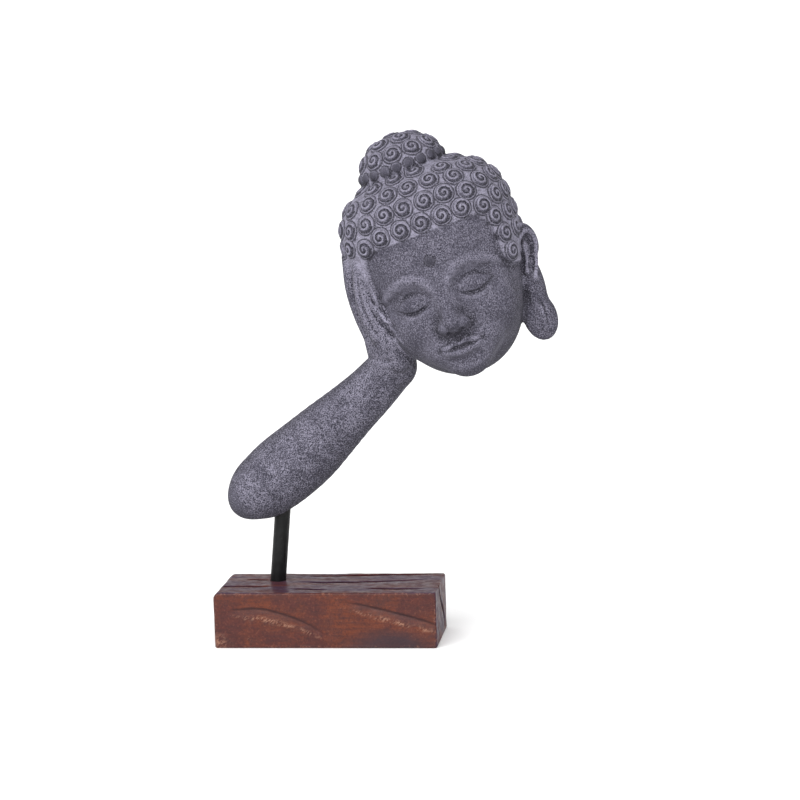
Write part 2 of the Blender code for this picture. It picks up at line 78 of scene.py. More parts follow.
# each gouge: the two axes of its face, the axis it is cut along, which of the two faces, its path in shares
# of the face, its width and its depth; its steep side is on the left of its path
gouges = (
    ((0, 2), 1, -1, [(0.06, 0.645), (0.12, 0.64), (0.21, 0.635), (0.27, 0.58), (0.34, 0.50), (0.43, 0.355),
                     (0.52, 0.165)], 0.0092, 0.0014),
    ((0, 2), 1, -1, [(0.56, 0.82), (0.65, 0.735), (0.71, 0.67), (0.83, 0.55), (0.92, 0.455), (1.0, 0.36),
                     (1.10, 0.27)], 0.0084, 0.0014),
    ((0, 1), 2, 1, [(-0.10, 0.31), (0.12, 0.33), (0.26, 0.31)], 0.0058, 0.0013),
    ((0, 1), 2, 1, [(0.10, 0.68), (0.16, 0.67), (0.22, 0.66)], 0.0046, 0.0011),
    ((0, 1), 2, 1, [(0.31, 0.87), (0.54, 0.86), (0.75, 0.91), (0.97, 0.89)], 0.0060, 0.0013),
    ((0, 1), 2, 1, [(0.34, 0.57), (0.50, 0.52), (0.70, 0.57), (0.93, 0.66)], 0.0064, 0.0014),
    ((0, 1), 2, 1, [(0.33, 0.21), (0.42, 0.19), (0.52, 0.15)], 0.0052, 0.0012),
    ((0, 1), 2, 1, [(0.66, 0.23), (0.80, 0.20), (0.95, 0.21)], 0.0060, 0.0013),
    ((1, 2), 0, 1, [(0.28, 1.10), (0.36, 0.90), (0.46, 0.72), (0.62, 0.52), (0.76, 0.28), (0.80, 0.05)],
     0.0070, 0.0014),
)


def placed(name, mesh):
    """A new piece of this mesh in the scene."""
    piece = bpy.data.objects.new(name, mesh)
    scene.collection.objects.link(piece)
    return piece


def worked_mesh(piece):
    """The mesh that a piece's modifiers give, in place of the piece."""
    mesh = bpy.data.meshes.new_from_object(piece.evaluated_get(bpy.context.evaluated_depsgraph_get()))
    bpy.data.objects.remove(piece)
    return mesh


def one_skin(mesh, voxel, smooth):
    """Makes overlapping closed forms into one closed form of even small faces."""
    piece = placed("blank", mesh)
    remesh = piece.modifiers.new("One skin", "REMESH")
    remesh.mode = "VOXEL"
    remesh.voxel_size = voxel
    if smooth:
        soften = piece.modifiers.new("Soften", "SMOOTH")
        soften.iterations = smooth
    skin = worked_mesh(piece)
    bpy.data.meshes.remove(mesh)
    return skin


def round_bar(name, foot, way, length, radius, sides, ease):
    """A closed round bar from its foot along a direction, its ends eased where ease is more than nothing."""
    bm = bmesh.new()
    bmesh.ops.create_cone(bm, cap_ends=True, segments=sides, radius1=radius, radius2=radius, depth=length)
    bmesh.ops.translate(bm, verts=bm.verts, vec=(0, 0, length / 2))
    if ease:
        rims = [e for e in bm.edges if abs(e.verts[0].co.z - e.verts[1].co.z) < 1e-6]
        bmesh.ops.bevel(bm, geom=rims, offset=ease, segments=3, profile=0.5, affect="EDGES")
    turned = Matrix.Translation(foot) @ way.to_track_quat("Z", "Y").to_matrix().to_4x4()
    bmesh.ops.transform(bm, matrix=turned, verts=bm.verts)
    mesh = bpy.data.meshes.new(name)
    bm.to_mesh(mesh)
    bm.free()
    mesh.shade_smooth()
    mesh.set_sharp_from_angle(angle=math.radians(40))
    return placed(name, mesh)


def drilled(mesh, name, foot, way, length, radius):
    """The mesh with a round hole drilled in it."""
    piece = placed(name, mesh)
    bit = round_bar(name + "_bit", foot, way, length, radius, 48, 0)
    hole = piece.modifiers.new("Hole", "BOOLEAN")
    hole.operation = "DIFFERENCE"
    hole.solver = "EXACT"
    hole.object = bit
    result = worked_mesh(piece)
    bpy.data.objects.remove(bit)
    return result


def points_of(mesh):
    co = np.empty(len(mesh.vertices) * 3)
    mesh.vertices.foreach_get("co", co)
    return co.reshape(-1, 3)


def normals_of(mesh):
    normal = np.empty(len(mesh.vertices) * 3)
    mesh.vertex_normals.foreach_get("vector", normal)
    return normal.reshape(-1, 3)


def move_to(mesh, co):
    mesh.vertices.foreach_set("co", co.ravel())
    mesh.update()


def keep_value(mesh, name, values):
    """Stores one value for each point, for the material to read."""
    attribute = mesh.attributes.new(name, "FLOAT", "POINT")
    attribute.data.foreach_set("value", np.asarray(values, np.float32))


def smooth_line(knots, steps):
    """Points on a curve through the knots."""
    knots = np.asarray(knots, float)
    k = np.vstack([2 * knots[0] - knots[1], knots, 2 * knots[-1] - knots[-2]])
    line = []
    for t in np.linspace(0, len(k) - 3, steps):
        i = min(int(t), len(k) - 4)
        u = t - i
        a, b, c, d = k[i:i + 4]
        line.append(0.5 * (2 * b + (c - a) * u + (2 * a - 5 * b + 4 * c - d) * u ** 2
                           + (3 * b - a - 3 * c + d) * u ** 3))
    return np.array(line)


def beside_path(flat, path):
    """For points on a face: how far each is to the left of a path, and its share of the way along it."""
    best = np.full(len(flat), np.inf)
    across = np.zeros(len(flat))
    along = np.zeros(len(flat))
    for n, (a, b) in enumerate(zip(path[:-1], path[1:])):
        way = b - a
        t = np.clip((flat - a) @ way / (way @ way), 0, 1)
        off = flat - a - t[:, None] * way
        far = np.linalg.norm(off, axis=1)
        left = way[0] * off[:, 1] - way[1] * off[:, 0]
        nearer = far < best
        best = np.where(nearer, far, best)
        across = np.where(nearer, np.sign(left) * far, across)
        along = np.where(nearer, (n + t) / (len(path) - 1), along)
    return across, along


def carve(mesh):
    """Cuts the gouges and the hand-cut waves; stores how dark, chipped and rubbed each place is, and where
    sheen is painted.
    """
    co, normal = points_of(mesh), normals_of(mesh)
    for axis in range(3):
        for face in (block_low[axis], block_high[axis]):
            co[np.abs(co[:, axis] - face) < 0.5 * wood_grid, axis] = face
    start = co.copy()
    groove, chips, hollow = np.zeros(len(co)), np.zeros(len(co)), np.zeros(len(co))
    for axes, into, sign, path, width, depth in gouges:
        spots = np.array(path) * block_size[list(axes)] + block_low[list(axes)]
        face = block_high[into] if sign > 0 else block_low[into]
        near = np.flatnonzero((np.abs(start[:, into] - face) < face_band) & (sign * normal[:, into] > 0.5))
        across, along = beside_path(start[near][:, list(axes)], smooth_line(spots, 40))
        taper = 1 - np.abs(2 * along - 1) ** 3
        wide = width * (0.35 + 0.65 * taper)
        s = 0.5 - across / wide
        rising = np.clip(1 - (s - gouge_lip) / (1 - gouge_lip), 0, 1) ** 1.4
        cut = np.where(s < gouge_lip, s / gouge_lip, rising)
        cut = np.where((s > 0) & (s < 1), cut, 0) * taper
        co[near, into] -= sign * depth * cut
        strong = min(1.0, depth / deep_gouge)
        # the front's gouges are dark only along their lip, the others all over
        dark = np.clip(1.15 - np.abs(s - 0.13) / 0.17, 0, 1) if into == 1 else np.clip(1.8 * cut, 0, 1)
        groove[near] = np.maximum(groove[near], strong * taper * dark)
        hollow[near] = np.maximum(hollow[near], strong * cut)
        chips[near] = np.maximum(chips[near], strong * taper * np.clip(1.1 - np.abs(s - 0.97) / 0.30, 0, 1))
    spots = [Vector(place) for place in start]
    wave = np.array([noise.noise(p / wave_long) + 0.5 * noise.noise(p / wave_short) for p in spots])
    standing = start[:, 2] < face_band
    dent = np.where(standing, 0, face_wave * np.clip(0.5 + wave, 0, 1.4))
    move_to(mesh, co - normal * dent[:, None])
    inside = np.sort(np.minimum(start - block_low, block_high - start), axis=1)
    from_corner = np.linalg.norm((start - block_low) / corner_wear_reach, axis=1)
    from_stain = np.linalg.norm((start - (block_low + block_size * stain_place)) / stain_reach, axis=1)
    for name, values in (("groove", groove), ("chips", chips), ("hollow", hollow),
                         ("edge", np.clip(1 - inside[:, 1] / edge_wear_width, 0, 1)),
                         ("corner", np.clip(1.2 - from_corner, 0, 1)),
                         ("stain", np.clip(1.6 - from_stain, 0, 1)),
                         # where the wax's sheen is painted: the faces that look up or to the right
                         ("painted_sheen", np.clip(1.6 * np.maximum(normal[:, 2], normal[:, 0]) - 0.4, 0, 1))):
        keep_value(mesh, name, values)


bm = bmesh.new()
bmesh.ops.create_cube(bm, size=1.0)
bmesh.ops.scale(bm, verts=bm.verts, vec=block_size)
bmesh.ops.translate(bm, verts=bm.verts, vec=(block_low + block_high) / 2)
eased = []
for e in bm.edges:
    on_left = all(v.co.x < block_low[0] + 1e-5 for v in e.verts)
    on_top = all(v.co.z > block_high[2] - 1e-5 for v in e.verts)
    on_back = all(v.co.y > block_high[1] - 1e-5 for v in e.verts)
    if on_left and (on_top or on_back):
        eased.append(e)
bmesh.ops.bevel(bm, geom=eased, offset=worn_corner, segments=3, profile=0.5, affect="EDGES")
crisp = [e for e in bm.edges if len(e.link_faces) == 2 and e.calc_face_angle() > math.radians(50)]
bmesh.ops.bevel(bm, geom=crisp, offset=edge_round, segments=2, profile=0.5, affect="EDGES")
block_mesh = bpy.data.meshes.new("carved_block")
bm.to_mesh(block_mesh)
bm.free()
block_mesh = one_skin(block_mesh, wood_grid, 0)
carve(block_mesh)
block_mesh = drilled(block_mesh, "carved_block", rod_foot - rod_way * (rod_in_block + socket_fit), rod_way,
                     rod_in_block + bit_past, rod_diameter / 2 + socket_fit)
block_mesh.shade_smooth()
carved_block = placed("carved_block", block_mesh)


def new_finish(name):
    """A new material: (material, its nodes' tree, its shader)."""
    material = bpy.data.materials.new(name)
    material.use_nodes = True
    return material, material.node_tree, material.node_tree.nodes["Principled BSDF"]


def node(tree, kind, inputs=(), **settings):
    """A node, each of its inputs a value or another node's socket."""
    made = tree.nodes.new(kind)
    for key, value in settings.items():
        setattr(made, key, value)
    for key, value in dict(inputs).items():
        if isinstance(value, bpy.types.NodeSocket):
            tree.links.new(value, made.inputs[key])
        else:
            made.inputs[key].default_value = value
    return made


def stretched(tree, scale):
    """The piece's own coordinates, scaled along each axis."""
    place = node(tree, "ShaderNodeTexCoord").outputs["Object"]
    return node(tree, "ShaderNodeMapping", {"Vector": place, "Scale": scale}).outputs["Vector"]


def stored(tree, name):
    """The value that the mesh keeps under a name."""
    return node(tree, "ShaderNodeAttribute", attribute_name=name).outputs["Fac"]


def cloud(place, scale, detail=3.0, rough=0.55):
    """Soft noise from 0 to 1."""
    settings = {"Vector": place, "Scale": scale, "Detail": detail, "Roughness": rough}
    return node(place.id_data, "ShaderNodeTexNoise", settings).outputs["Fac"]


def sums(operation, a, b=0.0, clamp=False):
    """One sum with one value or two, made in the tree of the one that is a socket."""
    tree = a.id_data if isinstance(a, bpy.types.NodeSocket) else b.id_data
    return node(tree, "ShaderNodeMath", {0: a, 1: b}, operation=operation, use_clamp=clamp).outputs[0]


def product(first, *others):
    for other in others:
        first = sums("MULTIPLY", first, other)
    return first


def remap(value, low, high, to_low=0.0, to_high=1.0):
    ends = {"Value": value, "From Min": low, "From Max": high, "To Min": to_low, "To Max": to_high}
    return node(value.id_data, "ShaderNodeMapRange", ends, interpolation_type="SMOOTHSTEP").outputs["Result"]


def over(share, under, top):
    """One colour laid over another."""
    made = node(share.id_data, "ShaderNodeMix", {"Factor": share}, data_type="RGBA")
    for socket, value in ((made.inputs[6], under), (made.inputs[7], top)):
        if isinstance(value, bpy.types.NodeSocket):
            share.id_data.links.new(value, socket)
        else:
            socket.default_value = (*value, 1)
    return made.outputs[2]


def bumped(height, distance, strength, under=None):
    """A bump of a height, in metres, over another bump."""
    inputs = {"Height": height, "Distance": distance, "Strength": strength}
    if under is not None:
        inputs["Normal"] = under
    return node(height.id_data, "ShaderNodeBump", inputs).outputs["Normal"]


stained_wood, tree, shader = new_finish("stained wood")
plain = stretched(tree, (1, 1, 1))
grain_way = stretched(tree, (0.12, 1, 1))
patches = cloud(plain, 34, 3, 0.6)
streaks = cloud(grain_way, 420, 4, 0.65)
flecks = cloud(plain, 620, 5, 0.7)
slant = (0, math.radians(38), 0)
slanted = node(tree, "ShaderNodeMapping", {"Vector": plain, "Rotation": slant}).outputs["Vector"]
slanted = node(tree, "ShaderNodeMapping", {"Vector": slanted, "Scale": (0.34, 1, 1)}).outputs["Vector"]
scratches = cloud(slanted, 900, 4, 0.7)
# the painted sheen of the wax, on the top and the right end
painted_sheen = stored(tree, "painted_sheen")
painted_sheen_streaks = remap(cloud(grain_way, 120, 4, 0.6), 0.42, 0.58, 1.0, 0.25)
gouge_dark = product(remap(stored(tree, "groove"), 0.05, 0.85), remap(painted_sheen, 0, 1, 0.55, 0.92))
stain = over(remap(patches, 0.38, 0.62), (0.064, 0.0155, 0.0130), (0.107, 0.0242, 0.0100))
coats = (
    # cloudy dark patches and streaks along the grain
    (remap(cloud(plain, 70, 4, 0.6), 0.52, 0.72, 0, 0.60), (0.038, 0.015, 0.018)),
    (remap(streaks, 0.42, 0.60, 0, 0.45), (0.042, 0.013, 0.012)),
    # dark and light flecks
    (remap(flecks, 0.48, 0.38, 0, 0.60), (0.030, 0.010, 0.010)),
    (remap(flecks, 0.56, 0.66, 0, 0.40), (0.170, 0.052, 0.028)),
    # the dark patch low on the front, and a painted lilac sheen on the top and the right end, standing in for
    # the wax's reflection of the pale surround
    (product(stored(tree, "stain"), 0.85), (0.028, 0.016, 0.022)),
    (product(painted_sheen, painted_sheen_streaks), (0.049, 0.027, 0.045)),
    # painted shade in the gouges' hollows, darker where they are cut deeper; then darker along the gouges, at
    # the steep lip on the front and over the whole cut elsewhere
    (product(stored(tree, "hollow"), 0.50), (0.044, 0.013, 0.013)),
    (gouge_dark, (0.016, 0.006, 0.008)),
)
for share, colour in coats:
    stain = over(share, stain, colour)
bare_wood = (0.260, 0.130, 0.085)
scratched = product(remap(scratches, 0.64, 0.72), remap(patches, 0.42, 0.56, 0.05, 0.35))
stain = over(scratched, stain, bare_wood)
broken = remap(cloud(plain, 130, 3, 0.6), 0.40, 0.56, 0.15, 1.0)
for place, marks, low, high, share in (("chips", scratches, 0.46, 0.60, 0.95),
                                       ("edge", flecks, 0.52, 0.62, 0.60),
                                       ("corner", scratches, 0.46, 0.53, 0.95)):
    bare = sums("MULTIPLY", stored(tree, place), remap(marks, low, high, 0, share), clamp=True)
    stain = over(product(bare, broken), stain, bare_wood)
tree.links.new(stain, shader.inputs["Base Color"])
tree.links.new(remap(cloud(plain, 160, 3), 0.35, 0.65, 0.30, 0.46), shader.inputs["Roughness"])
# less of the wax's own sheen where its reflection is painted
tree.links.new(remap(painted_sheen, 0, 1, 0.26, 0.05), shader.inputs["Specular IOR Level"])
relief = bumped(streaks, 0.0003, 0.5)
relief = bumped(cloud(plain, 260, 3), 0.0006, 0.35, relief)
tree.links.new(relief, shader.inputs["Normal"])
block_mesh.materials.clear()
block_mesh.materials.append(stained_wood)
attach(carved_block, "root")
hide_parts("wood_block")

# The rod: a straight steel bar with eased ends, painted matt black. It stands in the block's hole, leans to
# the right, and its upper end is set in the forearm.
rod_length = rod_in_block + rod_shows + rod_in_arm
rod_ease = 0.0008
painted_rod = round_bar("painted_rod", rod_foot - rod_way * rod_in_block, rod_way, rod_length,
                        rod_diameter / 2, 64, rod_ease)
black_paint, tree, shader = new_finish("black paint")
plain = stretched(tree, (1, 1, 1))
brushed = cloud(stretched(tree, (1, 1, 0.08)), 900, 3)
dull_black = (0.003, 0.0032, 0.0034)
worn_black = (0.007, 0.0074, 0.0078)
rub_mark = (0.050, 0.048, 0.046)
paint = over(remap(cloud(plain, 180, 3), 0.4, 0.7), dull_black, worn_black)
rubs = remap(cloud(plain, 700, 4, 0.65), 0.62, 0.72, 0, 0.5)
tree.links.new(over(rubs, paint, rub_mark), shader.inputs["Base Color"])
tree.links.new(remap(brushed, 0.35, 0.65, 0.34, 0.55), shader.inputs["Roughness"])
shader.inputs["Specular IOR Level"].default_value = 0.20
tree.links.new(bumped(cloud(plain, 800, 2), 0.0002, 0.3), shader.inputs["Normal"])
painted_rod.data.materials.append(black_paint)
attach(painted_rod, "root")
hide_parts("steel_rod")

# The figure: one casting of fine grey stone cement, the head resting on its right hand and forearm. It is
# cast in a flexible mould taken from a clay model, rubbed with a paler grey on its high points, and glued on
# the rod.
figure_height = 0.3064
# lengths below this are in shares of the figure's height, in the head's own frame: x to its left, y to the
# back, z up
figure_shares = 306.4
one_share = figure_height / figure_shares
skin_step = 1.42
head_lean = math.radians(19.2)
curl_radius = 0.0148 / one_share / 2
curl_rise = 0.0020 / one_share
curl_pitch = 0.0164 / one_share
curl_spread = 1.07
curl_swell = 1.6
curl_sunk = 0.6
bead_radius = 0.0080 / one_share / 2
bead_rise = 1.9
bead_pitch = 0.0096 / one_share
brow_mark_radius = 4.6
brow_mark_rise = 1.6
cap_shape = dict(centre=(0.0, -4.0, 24.4), radii=(67.2, 54.4, 90.0), far=(67.2, 51.6, 52.4), power=2.6)
knot_shape = dict(centre=(-2.8, -2.0, 70.0), radii=(34.8, 32.0, 33.0), power=2.15)
# each row of curls: its height, and how far along its pitch it starts
curl_rows = ((71.8, 0.57), (62.5, 0.10), (49.5, 0.64), (34.8, 0.16), (19.8, 0), (5.0, 0), (-9.6, 0),
             (-25.0, 0), (-39.0, 0))
knot_rows = ((90.0, 0.0), (99.5, 0.5))
bead_row = 79.6


def unit_ball(level):
    """Points and faces of a ball of radius 1."""
    bm = bmesh.new()
    bmesh.ops.create_icosphere(bm, subdivisions=level, radius=1.0)
    co = np.array([v.co for v in bm.verts])
    faces = np.array([[v.index for v in f.verts] for f in bm.faces])
    bm.free()
    return co, faces


def melt(a, b, blend):
    """The lower of two distances, run together over a width."""
    if blend <= 0:
        return np.minimum(a, b)
    h = np.clip(0.5 + 0.5 * (a - b) / blend, 0, 1)
    return a + (b - a) * h - blend * h * (1 - h)


class Egg:
    """An egg of clay. far gives its radii on the plus sides, axes its own directions."""

    def __init__(self, centre, radii, far=None, power=2.0, axes=None):
        self.centre = np.asarray(centre, float)
        self.radii = np.asarray(radii, float)
        self.far = self.radii if far is None else np.asarray(far, float)
        self.power = power
        self.axes = np.eye(3) if axes is None else np.asarray(axes, float)
        reach = np.sqrt(((self.axes * np.maximum(self.radii, self.far)[:, None]) ** 2).sum(axis=0))
        self.low, self.high = self.centre - reach, self.centre + reach

    def distance(self, co):
        along = (co - self.centre) @ self.axes.T
        size = np.where(along < 0, self.radii, self.far)
        u = np.abs(along) / size
        k = (u ** self.power).sum(axis=1) ** (1 / self.power) + 1e-6
        slope = np.sqrt((((u / k[:, None]) ** (self.power - 1) / size) ** 2).sum(axis=1))
        return (k - 1) / slope

    def surface(self, ball):
        length = (np.abs(ball) ** self.power).sum(axis=1) ** (1 / self.power)
        u = ball / length[:, None]
        return self.centre + (u * np.where(u < 0, self.radii, self.far)) @ self.axes

    def blanks(self):
        return [self.surface]

    def ring(self, height):
        """Points once round the egg at a height, from its front, with their normals."""
        turn = np.linspace(0, 2 * math.pi, 361)
        rise = height - self.centre[2]
        up = rise / (self.far[2] if rise > 0 else self.radii[2])
        flat = (1 - abs(up) ** self.power) ** (1 / self.power)
        u = np.stack([np.sin(turn), -np.cos(turn)], axis=1)
        u = u / (np.abs(u) ** self.power).sum(axis=1)[:, None] ** (1 / self.power) * flat
        u = np.column_stack([u, np.full(len(turn), up)])
        size = np.where(u < 0, self.radii, self.far)
        normal = np.sign(u) * np.abs(u) ** (self.power - 1) / size
        return self.centre + u * size, normal / np.linalg.norm(normal, axis=1)[:, None]


class Roll:
    """A roll of clay along a smooth line through knots of (x, y, z, radius)."""

    def __init__(self, knots, steps=None):
        knots = np.asarray(knots, float)
        path = knots if steps is None else smooth_line(knots, steps)
        self.co, self.radius = path[:, :3], path[:, 3]
        self.low = (self.co - self.radius[:, None]).min(axis=0)
        self.high = (self.co + self.radius[:, None]).max(axis=0)

    def distance(self, co):
        best = np.full(len(co), np.inf)
        for a, b, ra, rb in zip(self.co[:-1], self.co[1:], self.radius[:-1], self.radius[1:]):
            t = np.clip((co - a) @ (b - a) / ((b - a) @ (b - a)), 0, 1)
            off = co - a - t[:, None] * (b - a)
            best = np.minimum(best, np.sqrt((off ** 2).sum(axis=1)) - ra - t * (rb - ra))
        return best

    def blanks(self):
        fine = smooth_line(np.column_stack([self.co, self.radius]), 3 * len(self.co))
        return [Egg(p[:3], (p[3],) * 3).surface for p in fine]


class Hair(Egg):
    """The cap of hair: an egg cut off at the hairline."""

    def past_line(self, co):
        """How far points are past the hairline: below the brow's edge, and before or below the temple's."""
        x, y, z = co.T
        turn = np.degrees(np.arctan2(np.abs(x), self.centre[1] - y))
        temple = 1.08 * (np.interp(z, [-10, 5, 20, 28], [53, 53.5, 49, 43]) - turn)
        turns = [50, 56, 62, 70, 82, 105, 130, 180]
        lowest = np.interp(turn, turns, [-8, -15, -19, -20, -22, -36, -46, -48])
        side = 0.8 * (lowest - z)
        return melt(27.5 - z, -melt(-temple, -side, 6), 5)

    def distance(self, co):
        return -melt(-Egg.distance(self, co), -self.past_line(co), 2.0)

    def surface(self, ball):
        co = Egg.surface(self, ball)
        tuck = np.clip(1 - 0.02 * self.past_line(co), 0.8, 1.0)
        return self.centre + (co - self.centre) * tuck[:, None]


class Clay:
    """Lumps of clay put on and pressed in, one after the other."""

    def __init__(self):
        self.steps = []

    def add(self, lump, blend=2.0):
        self.steps.append((1, lump, blend))

    def press(self, lump, blend=1.0):
        self.steps.append((-1, lump, blend))

    def depth(self, co):
        """How far each point is outside the surface."""
        depth = np.full(len(co), 60.0)
        for sign, lump, blend in self.steps:
            reach = 1.6 * blend + 5.0
            near = np.flatnonzero(np.all((co > lump.low - reach) & (co < lump.high + reach), axis=1))
            if len(near):
                depth[near] = sign * melt(sign * depth[near], lump.distance(co[near]), blend)
        return depth

    def on_front(self, marks, lift, steps):
        """A line over the clay's front, from knots of (x, z, radius), lifted off it."""
        x, z, radius = smooth_line(marks, steps).T
        before_face = -90.0
        y = np.full(len(x), before_face)
        for _ in range(50):
            y = y + 0.8 * self.depth(np.column_stack([x, y, z]))
        return Roll(np.column_stack([x, y - lift, z, radius]))

    def ridge(self, marks, lift, steps, blend):
        self.add(self.on_front(marks, lift, steps), blend)

    def groove(self, marks, lift, steps, blend):
        self.press(self.on_front(marks, lift, steps), blend)

    def blank(self):
        """The rough blank: every lump as a ball mesh, in one mesh."""
        large, small = unit_ball(4), unit_ball(2)
        points, faces, count = [], [], 0
        for sign, lump, blend in self.steps:
            if sign < 0:
                continue
            ball, polygons = large if np.max(lump.high - lump.low) > 30 else small
            for surface in lump.blanks():
                points.append(surface(ball))
                faces.append(polygons + count)
                count += len(ball)
        mesh = bpy.data.meshes.new("blank")
        mesh.from_pydata(np.concatenate(points), [], np.concatenate(faces).tolist())
        return mesh

    def skin(self, voxel):
        """The finished surface: the blank made one skin, and drawn onto the clay in two passes."""
        mesh = self.blank()
        for size, smooth, rounds in ((1.7 * voxel, 8, 7), (voxel, 2, 5)):
            mesh = one_skin(mesh, size, smooth)
            self.draw_on(mesh, rounds)
        keep_largest(mesh)
        return mesh

    def draw_on(self, mesh, rounds, relax=0.35):
        """Moves the points onto the clay, and evens them out after every round but the last."""
        co = points_of(mesh)
        ends = np.empty(2 * len(mesh.edges), np.int64)
        mesh.edges.foreach_get("vertices", ends)
        here = np.concatenate([ends[0::2], ends[1::2]])
        there = np.concatenate([ends[1::2], ends[0::2]])
        count = np.bincount(here, minlength=len(co))[:, None]
        for turn in range(rounds):
            if turn:
                middle = np.column_stack([np.bincount(here, co[there, i], len(co)) for i in range(3)]) / count
                co = co + relax * (middle - co)
                move_to(mesh, co)
            co = co - normals_of(mesh) * np.clip(self.depth(co), -3, 3)[:, None]
            move_to(mesh, co)


def keep_largest(mesh):
    """Drops the crumbs that the remeshing leaves beside the one body."""
    bm = bmesh.new()
    bm.from_mesh(mesh)
    waiting = set(bm.verts)
    bodies = []
    while waiting:
        body, edge = set(), {waiting.pop()}
        while edge:
            body |= edge
            edge = {e.other_vert(v) for v in edge for e in v.link_edges} - body
        waiting -= body
        bodies.append(body)
    bodies.sort(key=len)
    for body in bodies[:-1]:
        bmesh.ops.delete(bm, geom=list(body), context="VERTS")
    bm.to_mesh(mesh)
    bm.free()


def skull(clay):
    clay.add(Egg((0, -2, 13), (63, 56.5, 61), (63, 43, 61)), 0)
    clay.add(Egg((0, -2, 22), (63.5, 56.3, 44), (63.5, 40, 44), power=2.5), 8)
    clay.add(Egg((0, -10, -32), (52, 47, 58), (52, 40, 58)), 26)
    clay.add(Egg((0, 2, -20), (50, 33, 42)), 14)
    for k in (-1, 1):
        clay.add(Egg((k * 27, -36, -42), (20, 19, 21)), 16)
    clay.add(Egg((0, -47, -76.5), (15, 12, 11.5)), 13)


def face(clay):
    for k in (-1, 1):
        brow = [(k * 8.0, -13.5, 1.0), (k * 12.5, -7.6, 1.5), (k * 23.0, -3.6, 1.7), (k * 34.0, -5.6, 1.4),
                (k * 42.0, -9.0, 0.8), (k * 47.0, -12.0, 0.4)]
        arch = clay.on_front(brow, 0.5, 13)
        clay.press(Egg((k * 25, -67, -19.5), (14.5, 10, 8)), 9)
        clay.press(Egg((k * 41, -57, -21), (9, 8, 7)), 9)
        clay.add(arch, 5)
        clay.add(Egg((k * 24.5, -46.5, -22), (14, 11.5, 8.5)), 3.5)
    clay.add(Egg((0, -50.5, -8), (11, 7, 9)), 8)
    nose = [(0, -53.5, -4, 4.6), (0, -58.0, -18, 4.8), (0, -61.2, -30, 5.6), (0, -63.6, -40, 6.6)]
    clay.add(Roll(nose, 8), 8)
    clay.add(Egg((0, -65.0, -43.6), (7.2, 6.8, 5.8)), 5)
    for k in (-1, 1):
        clay.add(Egg((k * 7.6, -59.8, -45.6), (5.6, 7.2, 4.8)), 4.5)
    clay.add(Egg((0, -62.4, -48.2), (3.0, 5.4, 2.4)), 3)
    clay.add(Egg((0, -47, -63.8), (26, 14, 14)), 12)
    upper = [(-17.0, -61.6, 0.8), (-10.0, -60.2, 2.0), (-3.8, -58.9, 2.6), (0, -59.6, 2.4), (3.8, -58.9, 2.6),
             (10.0, -60.2, 2.0), (17.0, -61.6, 0.8)]
    lower = [(-14.5, -63.4, 1.0), (-8.0, -65.8, 2.8), (0, -67.0, 3.6), (8.0, -65.8, 2.8), (14.5, -63.4, 1.0)]
    upper = clay.on_front(upper, 0.0, 17)
    lower = clay.on_front(lower, -0.3, 13)
    clay.add(upper, 2.2)
    clay.add(lower, 2.4)
    clay.groove([(-10, -72.6, 2.0), (0, -73.6, 2.6), (10, -72.6, 2.0)], 1.7, 9, 6)


def fine_face(clay):
    """The lines that the clay's face gets last: lids, nostrils, the lips' parting, the brow's mark."""
    for k in (-1, 1):
        lashes = [(k * 11.5, -23.6, 0.7), (k * 18.0, -26.6, 1.2), (k * 25.0, -27.8, 1.3),
                  (k * 32.0, -26.2, 1.2), (k * 39.5, -21.8, 0.7)]
        clay.groove(lashes, 0.25, 21, 0.5)
        under = [(k * 15.5, -29.2, 0.7), (k * 25.0, -31.8, 1.0), (k * 35.0, -28.2, 0.6)]
        clay.ridge(under, -0.6, 15, 1.6)
        crease = [(k * 13.0, -18.2, 0.6), (k * 19.0, -14.4, 0.9), (k * 27.0, -13.4, 0.9),
                  (k * 35.5, -17.2, 0.6)]
        clay.groove(crease, 0.6, 15, 1.2)
        clay.press(Egg((k * 5.0, -65.5, -50.6), (2.3, 3.2, 2.0)), 1.0)
        wing = [(k * 12.4, -42.6, 0.7), (k * 14.2, -46.0, 1.0), (k * 13.0, -50.0, 0.8)]
        clay.groove(wing, 0.5, 11, 1.8)
        clay.groove([(k * 18.2, -60.6, 1.1), (k * 18.8, -62.2, 0.9)], 0.8, 4, 2.6)
    clay.groove([(0, -52.2, 1.3), (0, -54.6, 1.8), (0, -56.8, 1.3)], 1.1, 6, 1.8)
    parting = [(-18.0, -61.2, 0.5), (-10.0, -62.9, 0.75), (-3.6, -62.2, 0.8), (0, -63.0, 0.8),
               (3.6, -62.2, 0.8), (10.0, -62.9, 0.75), (18.0, -61.2, 0.5)]
    clay.groove(parting, 0.0, 25, 0.6)
    mark = clay.on_front([(0, 6.0, 1.0), (0, 5.0, 1.0)], 0.0, 2).co[0]
    curl(clay, mark, np.array((0, -1.0, 0)), brow_mark_radius, brow_mark_rise, bead_places)


def places_round(egg, height, count, phase=0.0, start=0.0, dip=0.0):
    """Even places round an egg at a height, from a start on both sides of its front: (point, normal).

    They dip where the row turns from the brow to the temple.
    """
    co = egg.ring(height)[0]
    run = np.concatenate([[0], np.cumsum(np.linalg.norm(np.diff(co, axis=0), axis=1))])
    for n in range(count + (start > 0)):
        step = int(np.searchsorted(run, start + (n + phase) / count * (run[-1] - 2 * start) - 1e-6))
        x, y, z = co[step]
        turn = math.degrees(math.atan2(abs(x), egg.centre[1] - y))
        lower = dip * max(0, 1 - ((turn - 47) / 11) ** 2)
        points, normals = egg.ring(height - lower)
        yield points[step], normals[step]


def around(egg, height):
    return np.linalg.norm(np.diff(egg.ring(height)[0], axis=0), axis=1).sum()


curl_places = []
bead_places = []


